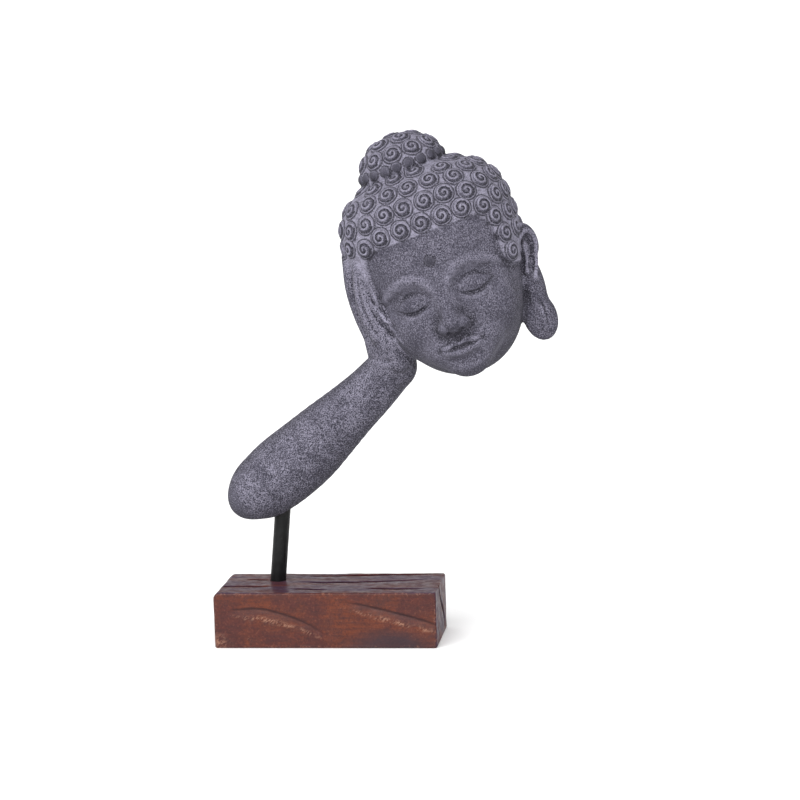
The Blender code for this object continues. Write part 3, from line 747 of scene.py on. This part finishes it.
def curl(clay, point, out, radius, rise, places):
    """A domed curl, its edge sunk so that it swells out of the ground; places keeps where it is."""
    side = np.cross((0.0, 0.0, 1.0), out)
    side = side / np.linalg.norm(side) if np.linalg.norm(side) > 1e-3 else np.array((1.0, 0.0, 0.0))
    axes = (side, np.cross(out, side), out)
    places.append((point, out, side, radius))
    size = (curl_spread * radius, curl_spread * radius, curl_swell * rise)
    clay.add(Egg(point - out * curl_sunk * rise, size, axes=axes), 1.2)


def curls(clay, cap, knot):
    """Rows of curls round the cap and the knot, where the clay is bare, and the beads below the knot."""
    found = []
    for height, phase in curl_rows:
        steps = np.linalg.norm(np.diff(cap.ring(height)[0], axis=0), axis=1)
        start = steps[:np.argmax(cap.past_line(cap.ring(height)[0]) < -0.85 * curl_radius)].sum()
        count = round((around(cap, height) - 2 * start) / curl_pitch)
        found += places_round(cap, height, count, phase, start, dip=4.5 if height > 30 else 0)
    for height, phase in knot_rows:
        found += places_round(knot, height, round(around(knot, height) / curl_pitch), phase)
    found.append((knot.centre + (0, 0, knot.far[2]), np.array((0, 0, 1.0))))
    bare = Clay()
    bare.steps = list(clay.steps)
    for point, out in found:
        over_it, under_it = bare.depth(np.array([point + 2.0 * out, point]))
        if over_it > 1.0 and under_it < 1.0:
            curl(clay, point, out, curl_radius, curl_rise, curl_places)
    for point, out in places_round(knot, bead_row, round(around(knot, bead_row) / bead_pitch)):
        curl(clay, point, out, bead_radius, bead_rise, bead_places)


def plate(degrees):
    """Directions of a flat part of the ear that flares out from the head."""
    turn = math.radians(degrees)
    return ((math.sin(turn), math.cos(turn), 0), (0, 0, 1), (math.cos(turn), -math.sin(turn), 0))


def ear(clay):
    """The left ear: its top, middle and long lobe, then its rim, its hollow and the lobe's slit."""
    clay.add(Egg((65.9, -6.5, -8.9), (12.0, 15.5, 4.0), axes=plate(50)), 2.5)
    clay.add(Egg((61.6, -5.8, -37), (9.2, 25, 4.6), axes=plate(52)), 4)
    clay.add(Egg((57.0, -6.0, -67), (14.0, 18.5, 5.2), axes=plate(62)), 4)
    rim = [(61.0, -16.0, -13, 1.4), (62.2, -16.0, -6.5, 1.9), (65.5, -13.4, -1.8, 2.2),
           (69.4, -10.2, -0.2, 2.3), (72.9, -6.8, -3.7, 2.3), (73.6, -5.4, -10.0, 2.1),
           (71.0, -6.0, -18, 1.9), (68.4, -7.4, -27, 1.8), (64.8, -9.2, -35.0, 1.9),
           (62.8, -10.4, -39.5, 2.6)]
    clay.add(Roll(rim, 26), 0.9)
    inner = [(62.8, -14.6, -10.5, 0.8), (65.5, -12.6, -5.8, 1.6), (69.0, -9.6, -6.6, 1.9),
             (69.8, -8.6, -13, 1.8), (67.0, -9.6, -22, 1.5), (63.8, -11.0, -31, 0.9)]
    clay.press(Roll(inner, 16), 0.8)
    clay.add(Egg((64.9, -12.2, -14.0), (3.4, 6.0, 2.4), axes=plate(50)), 1.5)
    ridge = [(64.4, -13.0, -16, 1.8), (63.2, -13.4, -21, 1.6), (61.2, -13.2, -26.5, 1.6),
             (60.2, -13.2, -30.5, 2.2)]
    clay.add(Roll(ridge, 10), 1.0)
    slit = clay.on_front([(61.5, -53.0, 0.8), (61.8, -62.0, 2.0), (61.0, -74.0, 0.9)], 0.2, 9)
    rib = clay.on_front([(60.8, -58.0, 0.5), (60.6, -65.0, 1.0), (60.2, -71.0, 0.5)], -1.2, 7)
    clay.press(slit, 1.0)
    clay.add(rib, 1.0)


def hand(clay, wrist):
    """Four fingers up the temple, the thumb along the cheek, and the palm's heel run into the wrist."""
    clay.add(Egg((-59, -8, -32), (16.0, 24, 32)), 7)
    clay.add(Roll([(-60.5, -15, -42, 16.6), (-62.0, -12, -54, 17.2), (*wrist[:3], 17.4)], 6), 4)
    index = [(-60.5, -27, -42, 8.0), (-62.5, -33, -20, 8.2), (-59.8, -37.5, -2, 7.6),
             (-55.6, -38.5, 18.5, 6.2)]
    middle = [(-66.5, -18, -40, 9.0), (-68.2, -20.5, -18, 8.4), (-67.2, -21.5, 4, 8.0), (-62.6, -22, 28, 6.4)]
    ring = [(-68.0, -3, -40, 9.4), (-69.6, -3.5, -18, 8.6), (-69.2, -3, 6, 8.0), (-65.2, -2, 28, 6.4)]
    little = [(-65, 12, -38, 8.4), (-67.5, 12.5, -16, 7.8), (-66.8, 13, 2, 7.0), (-63.0, 13, 16, 5.8)]
    for finger in (index, middle, ring, little):
        clay.add(Roll(finger, 11), 1.0)
    thumb = [(-55.0, -22, -58, 12.0), (-52.5, -27.5, -44, 10.6), (-53.2, -31.0, -28, 8.4),
             (-53.8, -32.5, -10, 5.6)]
    clay.add(Roll(thumb, 9), 3.0)
    # the folds and tendons on its front: along the fingers and the thumb, then across the wrist and the palm
    clay.groove([(-57.0, 20, 0.6), (-60.3, 9, 1.2), (-62.6, -2, 1.5), (-63.4, -16.5, 1.5), (-62.8, -30, 1.2),
                 (-60.0, -38, 0.6)], 0.2, 17, 1.4)
    clay.ridge([(-56.8, -9, 0.6), (-54.2, -16, 1.3), (-51.0, -25, 1.6), (-47.0, -36, 1.6),
                (-43.0, -46.5, 0.6)], -0.3, 15, 2.0)
    clay.groove([(-57.8, -15, 0.6), (-55.6, -24, 1.3), (-52.2, -33, 1.4), (-48.0, -43, 0.8)], 0.2, 13, 1.4)
    clay.groove([(-77.0, -50.5, 1.0), (-68.0, -54.6, 1.5), (-58.0, -58.6, 0.8)], 0.4, 9, 3.0)
    for x, z in ((-51.5, -29.5), (-53.0, -35.0)):
        clay.groove([(x - 9, z + 2.5, 0.5), (x, z, 0.9), (x + 7, z - 3.0, 0.5)], 0.4, 7, 1.6)


head_middle = rod_entry + Vector((134.1, -12.0, 194.3)) * one_share
head_to_world = (Matrix.Translation(head_middle) @ Matrix.Rotation(-head_lean, 4, "Y")
                 @ Matrix.Scale(one_share, 4))
world_to_head = head_to_world.inverted()


def from_rod(x, y, z):
    """A place in the head's frame, from its shares right, back and up of where the rod enters the arm."""
    return world_to_head @ (rod_entry + Vector((x, y, z)) * one_share)


# the forearm's middle line from the elbow to the wrist, from the rod's entry, with its radius
stations = ((-11.8, 0, 17.2, 26.8), (1.9, -2, 28.2, 28.4), (21.0, -4, 43.4, 27.7), (39.4, -7, 60.2, 25.1),
            (58.0, -10, 77.1, 22.0), (75.5, -12, 93.1, 20.0), (94.6, -19, 113.0, 18.2))
arm_line = [(*from_rod(x, y, z), radius) for x, y, z, radius in stations]

clay = Clay()
cap = Hair(**cap_shape)
knot = Egg(**knot_shape)
skull(clay)
face(clay)
clay.add(cap, 2.4)
clay.add(knot, 2.5)
for k in (-1, 1):
    clay.press(Egg((k * 84, -8, -25), (24.0, 33, 29), power=2.5), 3)
ear(clay)
hand(clay, arm_line[-1])
clay.add(Roll(arm_line, 19), 3)
clay.add(Egg(from_rod(-22.0, 0, 11.0), (21, 23, 21)), 6)
clay.add(Egg(from_rod(-28.5, 0, 4.5), (13.5, 17, 13.5)), 7)
curls(clay, cap, knot)
fine_face(clay)
figure_mesh = clay.skin(skin_step)
curl_spins = np.random.default_rng(4).uniform(-0.9, 0.4, len(curl_places))


def finer_where(mesh, wanted):
    """Halves the faces of the places that carry fine lines."""
    co = points_of(mesh)
    pick = wanted(co)
    bm = bmesh.new()
    bm.from_mesh(mesh)
    bm.verts.ensure_lookup_table()
    edges = [e for e in bm.edges if pick[e.verts[0].index] and pick[e.verts[1].index]]
    bmesh.ops.subdivide_edges(bm, edges=edges, cuts=1, use_grid_fill=True)
    bm.to_mesh(mesh)
    bm.free()


def fine_places(co):
    x, y, z = co.T
    eyes = (np.abs(np.abs(x) - 25) < 17) & (z > -35) & (z < -9) & (y < -30)
    nose_and_mouth = (np.abs(x) < 21) & (z > -74) & (z < -40) & (y < -40)
    ear_front = (x > 54) & (z > -80) & (z < 8) & (y > -20) & (y < 2)
    hand_front = (x > -70) & (x < -44) & (z > -46) & (z < 24) & (y < -26)
    return eyes | nose_and_mouth | ear_front | hand_front


finer_where(figure_mesh, fine_places)
clay.draw_on(figure_mesh, 3)
places = points_of(figure_mesh)
out = normals_of(figure_mesh)
hollow_reach = 2.4
wide_reach = 9.0
proud_reach = 2.6
finger_reach = 7.0
hollow = 1 - clay.depth(places + hollow_reach * out) / hollow_reach
wide_hollow = 1 - clay.depth(places + wide_reach * out) / wide_reach
proud = 1 + clay.depth(places - proud_reach * out) / proud_reach
slender = np.clip(3 + 3 * clay.depth(places - finger_reach * out) / finger_reach, 0, 1)
in_hair = np.clip(0.5 - 0.5 * np.minimum(np.abs(Egg.distance(cap, places)) - 2, 5), 0, 1)
in_hair = np.maximum(np.where(cap.past_line(places) < 0.5, in_hair, 0), np.where(places[:, 2] > 74, 1, 0))
limb = Clay()
hand(limb, arm_line[-1])
limb.add(Roll(arm_line, 19), 3)
on_limb = np.clip(1.5 - limb.depth(places) / 3, 0, 1)
on_face = np.clip((54 - places[:, 0]) / 4, 0, 1) * (1 - in_hair) * (1 - on_limb)
# recess: a dark wash in the fine hollows, and painted shade in the broad ones, such as the eye sockets and
# beside the nose
recess = (0.6 + 0.3 * on_face) * np.clip(1.25 * hollow, 0, 1)
recess += (0.6 - 0.15 * on_face) * np.clip(1.3 * wide_hollow, 0, 1)
for name, values in (("worn", np.clip(2.4 * proud, 0, 1)), ("in_hair", in_hair), ("on_limb", on_limb),
                     ("knuckles", on_limb * np.clip((places[:, 2] + 62) / 16, 0, 1) * (0.15 + slender)),
                     ("on_face", on_face), ("recess", np.clip(recess, 0, 1)),
                     ("square_on", np.abs(out[:, 1])),
                     ("upward", 0.5 + 0.5 * (out @ (math.sin(head_lean), 0, math.cos(head_lean))))):
    keep_value(figure_mesh, name, values)


def keep_curl_spots(mesh):
    """Stores where each face lies on its nearest curl (third value 1) or bead (2), seen from outside."""
    co = points_of(mesh)
    corners = np.empty(len(mesh.loops), np.int64)
    mesh.loops.foreach_get("vertex_index", corners)
    sides = np.empty(len(mesh.polygons), np.int64)
    mesh.polygons.foreach_get("loop_total", sides)
    middle = np.empty(3 * len(mesh.polygons))
    mesh.polygons.foreach_get("center", middle)
    middle = middle.reshape(-1, 3)
    spots = [(*place, spin, 1) for place, spin in zip(curl_places, curl_spins)]
    spots += [(*place, 0.0, 2) for place in bead_places]
    reach_in_radii = 1.6
    nearest = np.full(len(middle), reach_in_radii)
    chosen = np.full(len(middle), -1)
    for n, (point, out, side, radius, spin, kind) in enumerate(spots):
        far = np.linalg.norm(middle - point, axis=1) / radius
        chosen = np.where(far < nearest, n, chosen)
        nearest = np.minimum(nearest, far)
    chosen = np.repeat(chosen, sides)
    on_no_curl = (20.0, 20.0, 0.0)
    seen = np.full((len(corners), 3), on_no_curl)
    for n, (point, out, side, radius, spin, kind) in enumerate(spots):
        here = np.flatnonzero(chosen == n)
        off = co[corners[here]] - point
        x, y = off @ side, off @ np.cross(out, side)
        turned_x = x * math.cos(spin) + y * math.sin(spin)
        turned_y = y * math.cos(spin) - x * math.sin(spin)
        seen[here] = np.column_stack([turned_x, turned_y, np.full(len(here), kind)])
    kept = mesh.attributes.new("curl_spot", "FLOAT_VECTOR", "CORNER")
    kept.data.foreach_set("vector", seen.astype(np.float32).ravel())


keep_curl_spots(figure_mesh)
figure_mesh.transform(head_to_world)
figure_mesh = drilled(figure_mesh, "stone_casting", rod_entry - rod_way * bit_past, rod_way,
                      rod_in_arm + bit_past + socket_fit, rod_diameter / 2 + socket_fit)
figure_mesh.shade_smooth()
stone_casting = placed("stone_casting", figure_mesh)


cord_outer = 6.6
cord_inner = 0.5
cord_turns = 1.6
cord_pitch = (cord_outer - cord_inner) / cord_turns
curl_edge = cord_outer + 1.25
bead_edge = bead_radius + 0.3
dark_cement = (0.055, 0.052, 0.073)
pale_cement = (0.088, 0.083, 0.112)
painted_side_shade = (0.024, 0.022, 0.031)
painted_underside_shade = (0.030, 0.028, 0.040)
rubbed = (0.265, 0.252, 0.325)
shadowed = (0.016, 0.015, 0.022)
pale_sand = (0.270, 0.257, 0.326)
black_sand = (0.011, 0.010, 0.018)
pit_black = (0.014, 0.013, 0.020)


def alike(kind, number):
    """1 where a kind is this number, else 0."""
    return node(kind.id_data, "ShaderNodeMath", {0: kind, 1: number, 2: 0.5}, operation="COMPARE").outputs[0]


def beside(value, middle, inner, outer):
    """1 where a value is nearer than inner to the middle, down to 0 at outer."""
    away = sums("ABSOLUTE", sums("SUBTRACT", value, middle))
    return remap(away, inner, outer, 1, 0)


def curl_marks(uneven):
    """Where curls have their edge, their spiral's valleys and their dome, and where beads lie: 0 to 1."""
    spot = node(uneven.id_data, "ShaderNodeAttribute", attribute_name="curl_spot").outputs["Vector"]
    x, y, kind = node(uneven.id_data, "ShaderNodeSeparateXYZ", {"Vector": spot}).outputs
    is_curl = alike(kind, 1.0)
    is_bead = alike(kind, 2.0)
    far = sums("SQRT", sums("ADD", product(x, x), product(y, y)))
    far = sums("ADD", far, uneven)
    turn = sums("DIVIDE", sums("ARCTAN2", product(x, -1.0), y), 2 * math.pi)
    lap = sums("DIVIDE", sums("SUBTRACT", cord_outer, far), cord_pitch)
    lap = sums("FRACT", sums("SUBTRACT", lap, turn))
    dome = product(is_curl, remap(far, cord_outer - 0.3, cord_outer + 0.5, 1, 0))
    valley = product(beside(lap, 0.5, 0.20, 0.36), dome)
    ring = sums("MAXIMUM", product(is_curl, beside(far, curl_edge, 0.15, 0.8)),
                product(is_bead, beside(far, bead_edge, 0.2, 0.9)))
    bead = product(is_bead, remap(far, 3.2, 4.2, 1, 0))
    return ring, valley, sums("MAXIMUM", dome, bead), bead


def dressed_casting(tree, body, patches, clouds):
    """The casting's cement, with painted shade at its sides, underneath and in its broad hollows, a dark wash
    in its fine hollows, a painted highlight down the front of the arm, and its high places rubbed pale.

    Gives its colour, how far its sand shows, and the curls' dark lines.
    """
    on_limb, in_hair, on_face = (stored(tree, name) for name in ("on_limb", "in_hair", "on_face"))
    square_on, upward = (stored(tree, name) for name in ("square_on", "upward"))
    # painted shade where the surface turns from the front
    body = over(remap(square_on, 0.10, 0.85, 0.70, 0.0), body, painted_side_shade)
    # painted shade on the faces that look down
    body = over(remap(upward, 0.12, 0.66, 0.82, 0.0), body, painted_underside_shade)
    proud = sums("MULTIPLY", stored(tree, "worn"), remap(clouds, 0.35, 0.62, 0.40, 1.0), clamp=True)
    body = over(product(proud, remap(on_face, 0, 1, 1.0, 0.42)), body, rubbed)
    # a painted highlight where the arm and the hand face the front, in cloudy patches, with the knuckles
    # rubbed pale over it
    cloudy = remap(sums("ADD", patches, clouds), 0.84, 1.14, 0.0, 0.30)
    brushed = product(on_limb, remap(square_on, 0.35, 0.95), cloudy)
    brushed = sums("ADD", brushed, product(stored(tree, "knuckles"), 0.28))
    body = over(brushed, body, rubbed)
    uneven = sums("SUBTRACT", clouds, 0.5)
    ring, valley, dome, bead = curl_marks(product(uneven, 1.6))
    ground = sums("SUBTRACT", sums("ADD", 0.68, product(uneven, 1.4)), dome)
    body = over(sums("MULTIPLY", in_hair, ground, clamp=True), body, rubbed)
    # the dark wash of the fine hollows and the painted shade of the broad ones
    body = over(remap(stored(tree, "recess"), 0.20, 0.85, 0, 0.92), body, shadowed)
    # painted shade in the curls' edge rings and spiral valleys, and the beads darkened
    lines = sums("MAXIMUM", ring, valley)
    dark_bead = product(bead, remap(in_hair, 0, 1, 0.60, 0.20))
    body = over(product(sums("MAXIMUM", lines, dark_bead), 0.88), body, shadowed)
    calm = product(on_face, remap(upward, 0.20, 0.55, 0.45, 0.10))
    speckled = product(remap(in_hair, 0.2, 0.8, 1.0, 0.65),
                       remap(patches, 0.40, 0.60, 0.75, 1.0),
                       sums("SUBTRACT", 1.0, calm),
                       sums("ADD", 1.0, product(on_limb, 0.25)),
                       sums("SUBTRACT", 1.0, product(bead, 0.7)))
    return body, speckled, lines


def stone_finish(name, all_over=None):
    """Pitted grey cement, rubbed by a share all over, or dressed as the casting where none is given."""
    material, tree, shader = new_finish(name)
    plain = stretched(tree, (1, 1, 1))
    sand = cloud(plain, 1080, 2, 0.7)
    pits = node(tree, "ShaderNodeTexVoronoi", {"Vector": plain, "Scale": 560, "Randomness": 1.0})
    pits = pits.outputs["Distance"]
    patches = cloud(plain, 55, 3, 0.6)
    clouds = cloud(plain, 190, 3, 0.6)
    body = over(remap(patches, 0.35, 0.65), dark_cement, pale_cement)
    relief = bumped(remap(pits, 0.0, 0.30), 0.0006, 0.55)
    relief = bumped(sand, 0.0012, 0.60, relief)
    relief = bumped(cloud(plain, 120, 3), 0.0015, 0.30, relief)
    if all_over is None:
        body, speckled, lines = dressed_casting(tree, body, patches, clouds)
        relief = bumped(sums("SUBTRACT", 1.0, lines), 0.0008, 0.8, relief)
    else:
        body = over(remap(clouds, 0.36, 0.60, 0.6 * all_over, all_over), body, rubbed)
        speckled = remap(clouds, 0.38, 0.62, 0.75, 0.35)
    body = over(product(remap(sand, 0.52, 0.64, 0, 0.62), speckled), body, pale_sand)
    body = over(product(remap(sand, 0.49, 0.40, 0, 0.95), speckled), body, black_sand)
    body = over(remap(pits, 0.16, 0.04, 0, 0.55), body, pit_black)
    tree.links.new(body, shader.inputs["Base Color"])
    tree.links.new(remap(clouds, 0.3, 0.7, 0.80, 0.95), shader.inputs["Roughness"])
    shader.inputs["Specular IOR Level"].default_value = 0.30
    tree.links.new(relief, shader.inputs["Normal"])
    return material


figure_mesh.materials.clear()
figure_mesh.materials.append(stone_finish("cast grey stone"))
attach(stone_casting, "root")
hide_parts("stone_figure")

# The curls' cords: the raised spiral on each curl of hair, part of the casting, rubbed paler than the ground.
# Each runs in from its curl's edge to the middle, and is thinner where it starts.
cord_thick = 0.80
cord_steps = 11
cord_sides = 3
cord_start = 0.5
cord_swell = 0.75
cord_sunk = 0.08
swollen_by = 9.0
points_mesh = bpy.data.meshes.new("curl_places")
points_mesh.from_pydata([place[0] for place in curl_places], [], [])
for name, column in (("out", 1), ("side", 2)):
    ways = np.array([place[column] for place in curl_places], np.float32)
    points_mesh.attributes.new(name, "FLOAT_VECTOR", "POINT").data.foreach_set("vector", ways.ravel())
keep_value(points_mesh, "spin", curl_spins)
curl_spots = placed("curl_spots", points_mesh)

cords = bpy.data.node_groups.new("Curl cords", "GeometryNodeTree")
cord_sizes = {"Curl radius": curl_radius, "Curl rise": curl_rise, "Outer radius": cord_outer,
              "Inner radius": cord_inner, "Cord thickness": cord_thick, "Turns": cord_turns,
              "Steps a turn": cord_steps}
sockets = {}
cords.interface.new_socket("Geometry", in_out="INPUT", socket_type="NodeSocketGeometry")
for name, value in cord_sizes.items():
    kind = "NodeSocketInt" if isinstance(value, int) else "NodeSocketFloat"
    sockets[name] = cords.interface.new_socket(name, in_out="INPUT", socket_type=kind)
sockets["Material"] = cords.interface.new_socket("Material", in_out="INPUT", socket_type="NodeSocketMaterial")
cords.interface.new_socket("Geometry", in_out="OUTPUT", socket_type="NodeSocketGeometry")


def kept(name, kind):
    """What each curl's point keeps under a name."""
    return node(cords, "GeometryNodeInputNamedAttribute", {"Name": name}, data_type=kind).outputs["Attribute"]


given = node(cords, "NodeGroupInput").outputs
spiral = node(cords, "GeometryNodeCurveSpiral", {
    "Resolution": given["Steps a turn"], "Rotations": given["Turns"], "Start Radius": given["Outer radius"],
    "End Radius": given["Inner radius"], "Height": 0.0, "Reverse": True}).outputs["Curve"]
# the spiral lifted onto its curl's dome
spot = node(cords, "GeometryNodeInputPosition").outputs["Position"]
far = node(cords, "ShaderNodeVectorMath", {0: spot}, operation="LENGTH").outputs["Value"]
share = sums("DIVIDE", sums("DIVIDE", far, given["Curl radius"]), curl_spread)
dome = sums("SQRT", sums("SUBTRACT", 1.0, product(share, share)))
dome = sums("SUBTRACT", product(dome, curl_swell), curl_sunk + cord_sunk)
lift = node(cords, "ShaderNodeCombineXYZ", {"Z": product(dome, given["Curl rise"])}).outputs["Vector"]
spiral = node(cords, "GeometryNodeSetPosition", {"Geometry": spiral, "Offset": lift}).outputs["Geometry"]
# the cord drawn along it
along = node(cords, "GeometryNodeSplineParameter").outputs["Factor"]
swell = product(sums("MINIMUM", product(along, swollen_by), 1.0), cord_swell)
thick = product(given["Cord thickness"], sums("ADD", swell, cord_start))
spiral = node(cords, "GeometryNodeSetCurveRadius", {"Curve": spiral, "Radius": thick}).outputs["Curve"]
profile = node(cords, "GeometryNodeCurvePrimitiveCircle", {"Resolution": cord_sides, "Radius": 1.0})
cord = node(cords, "GeometryNodeCurveToMesh", {
    "Curve": spiral, "Profile Curve": profile.outputs["Curve"], "Fill Caps": True}).outputs["Mesh"]
# one for each curl, square to its dome and turned by its own spin
ways = {"Primary Axis": kept("out", "FLOAT_VECTOR"), "Secondary Axis": kept("side", "FLOAT_VECTOR")}
facing = node(cords, "FunctionNodeAxesToRotation", ways, primary_axis="Z", secondary_axis="X")
spin = node(cords, "FunctionNodeAxisAngleToRotation", {"Axis": (0, 0, 1), "Angle": kept("spin", "FLOAT")})
ways = {"Rotation": facing.outputs["Rotation"], "Rotate By": spin.outputs["Rotation"]}
facing = node(cords, "FunctionNodeRotateRotation", ways, rotation_space="LOCAL").outputs["Rotation"]
copies = node(cords, "GeometryNodeInstanceOnPoints", {
    "Points": given["Geometry"], "Instance": cord, "Rotation": facing}).outputs["Instances"]
real = node(cords, "GeometryNodeRealizeInstances", {"Geometry": copies}).outputs["Geometry"]
real = node(cords, "GeometryNodeSetMaterial", {"Geometry": real, "Material": given["Material"]})
cords.links.new(real.outputs["Geometry"], node(cords, "NodeGroupOutput").inputs["Geometry"])

curling = curl_spots.modifiers.new("Curl cords", "NODES")
curling.node_group = cords
cord_sizes["Material"] = stone_finish("rubbed grey stone", 0.85)
for name, value in cord_sizes.items():
    curling[sockets[name].identifier] = value
cord_mesh = worked_mesh(curl_spots)
cord_mesh.transform(head_to_world)
cord_mesh.shade_smooth()
curl_cords = placed("curl_cords", cord_mesh)
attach(curl_cords, "root")

# The studio: a plain pale floor that turns up into a low wall far off all round, a pale surround, and one
# broad soft light above and in front.
floor_reach = 14.0
wall_turn = 3.0
wall_steps = 8
floor_grey = 0.94
surround_strength = 0.79
bm = bmesh.new()
profile = [(0.0, 0.0), (1.0, 0.0), (4.0, 0.0)]
for n in range(wall_steps + 1):
    lift = n / wall_steps * math.pi / 2
    profile.append((floor_reach + wall_turn * math.sin(lift), wall_turn * (1 - math.cos(lift))))
line = [bm.verts.new((x, 0, z)) for x, z in profile]
edges = [bm.edges.new(pair) for pair in zip(line[:-1], line[1:])]
bmesh.ops.spin(bm, geom=line + edges, cent=(0, 0, 0), axis=(0, 0, 1), angle=2 * math.pi, steps=48)
bmesh.ops.remove_doubles(bm, verts=bm.verts, dist=1e-4)
bmesh.ops.recalc_face_normals(bm, faces=bm.faces)
floor_mesh = bpy.data.meshes.new("floor")
bm.to_mesh(floor_mesh)
bm.free()
if floor_mesh.polygons[0].normal.z < 0:
    floor_mesh.flip_normals()
floor_mesh.shade_smooth()
floor = placed("floor", floor_mesh)
pale_floor, tree, shader = new_finish("pale floor")
shader.inputs["Base Color"].default_value = (floor_grey, floor_grey, floor_grey, 1)
shader.inputs["Roughness"].default_value = 0.9
floor_mesh.materials.append(pale_floor)

world = bpy.data.worlds.new("pale surround")
scene.world = world
world.use_nodes = True
world.node_tree.nodes["Background"].inputs["Color"].default_value = (1.0, 1.0, 1.0, 1)
world.node_tree.nodes["Background"].inputs["Strength"].default_value = surround_strength


def way_to(azimuth, elevation):
    """The direction from the figure at degrees to the right of its front and above it."""
    turn, rise = math.radians(azimuth), math.radians(elevation)
    return Vector((math.sin(turn) * math.cos(rise), -math.cos(turn) * math.cos(rise), math.sin(rise)))


softbox = bpy.data.lights.new("key", "SUN")
softbox.angle = math.radians(74)
softbox.energy = 3.55
key = placed("key", softbox)
key.rotation_euler = way_to(-18, 38).to_track_quat("Z", "Y").to_euler()

# The camera: the photograph's view with a long lens, from a little above and to the right of the front, and
# rolled a little as the photograph is.
camera_aim = Vector((0.0604, 0, 0.1906))
camera_distance = 2.0
camera_roll = math.radians(-1.85)
camera_data = bpy.data.cameras.new("camera")
camera_data.lens = 115.2
camera_data.sensor_width = 36
camera = placed("camera", camera_data)
back = way_to(7.6, 8.77)
camera.location = camera_aim + back * camera_distance
camera.rotation_mode = "QUATERNION"
camera.rotation_quaternion = (-back).to_track_quat("-Z", "Y") @ Quaternion((0, 0, 1), camera_roll)
scene.camera = camera
scene.view_settings.view_transform = "Standard"
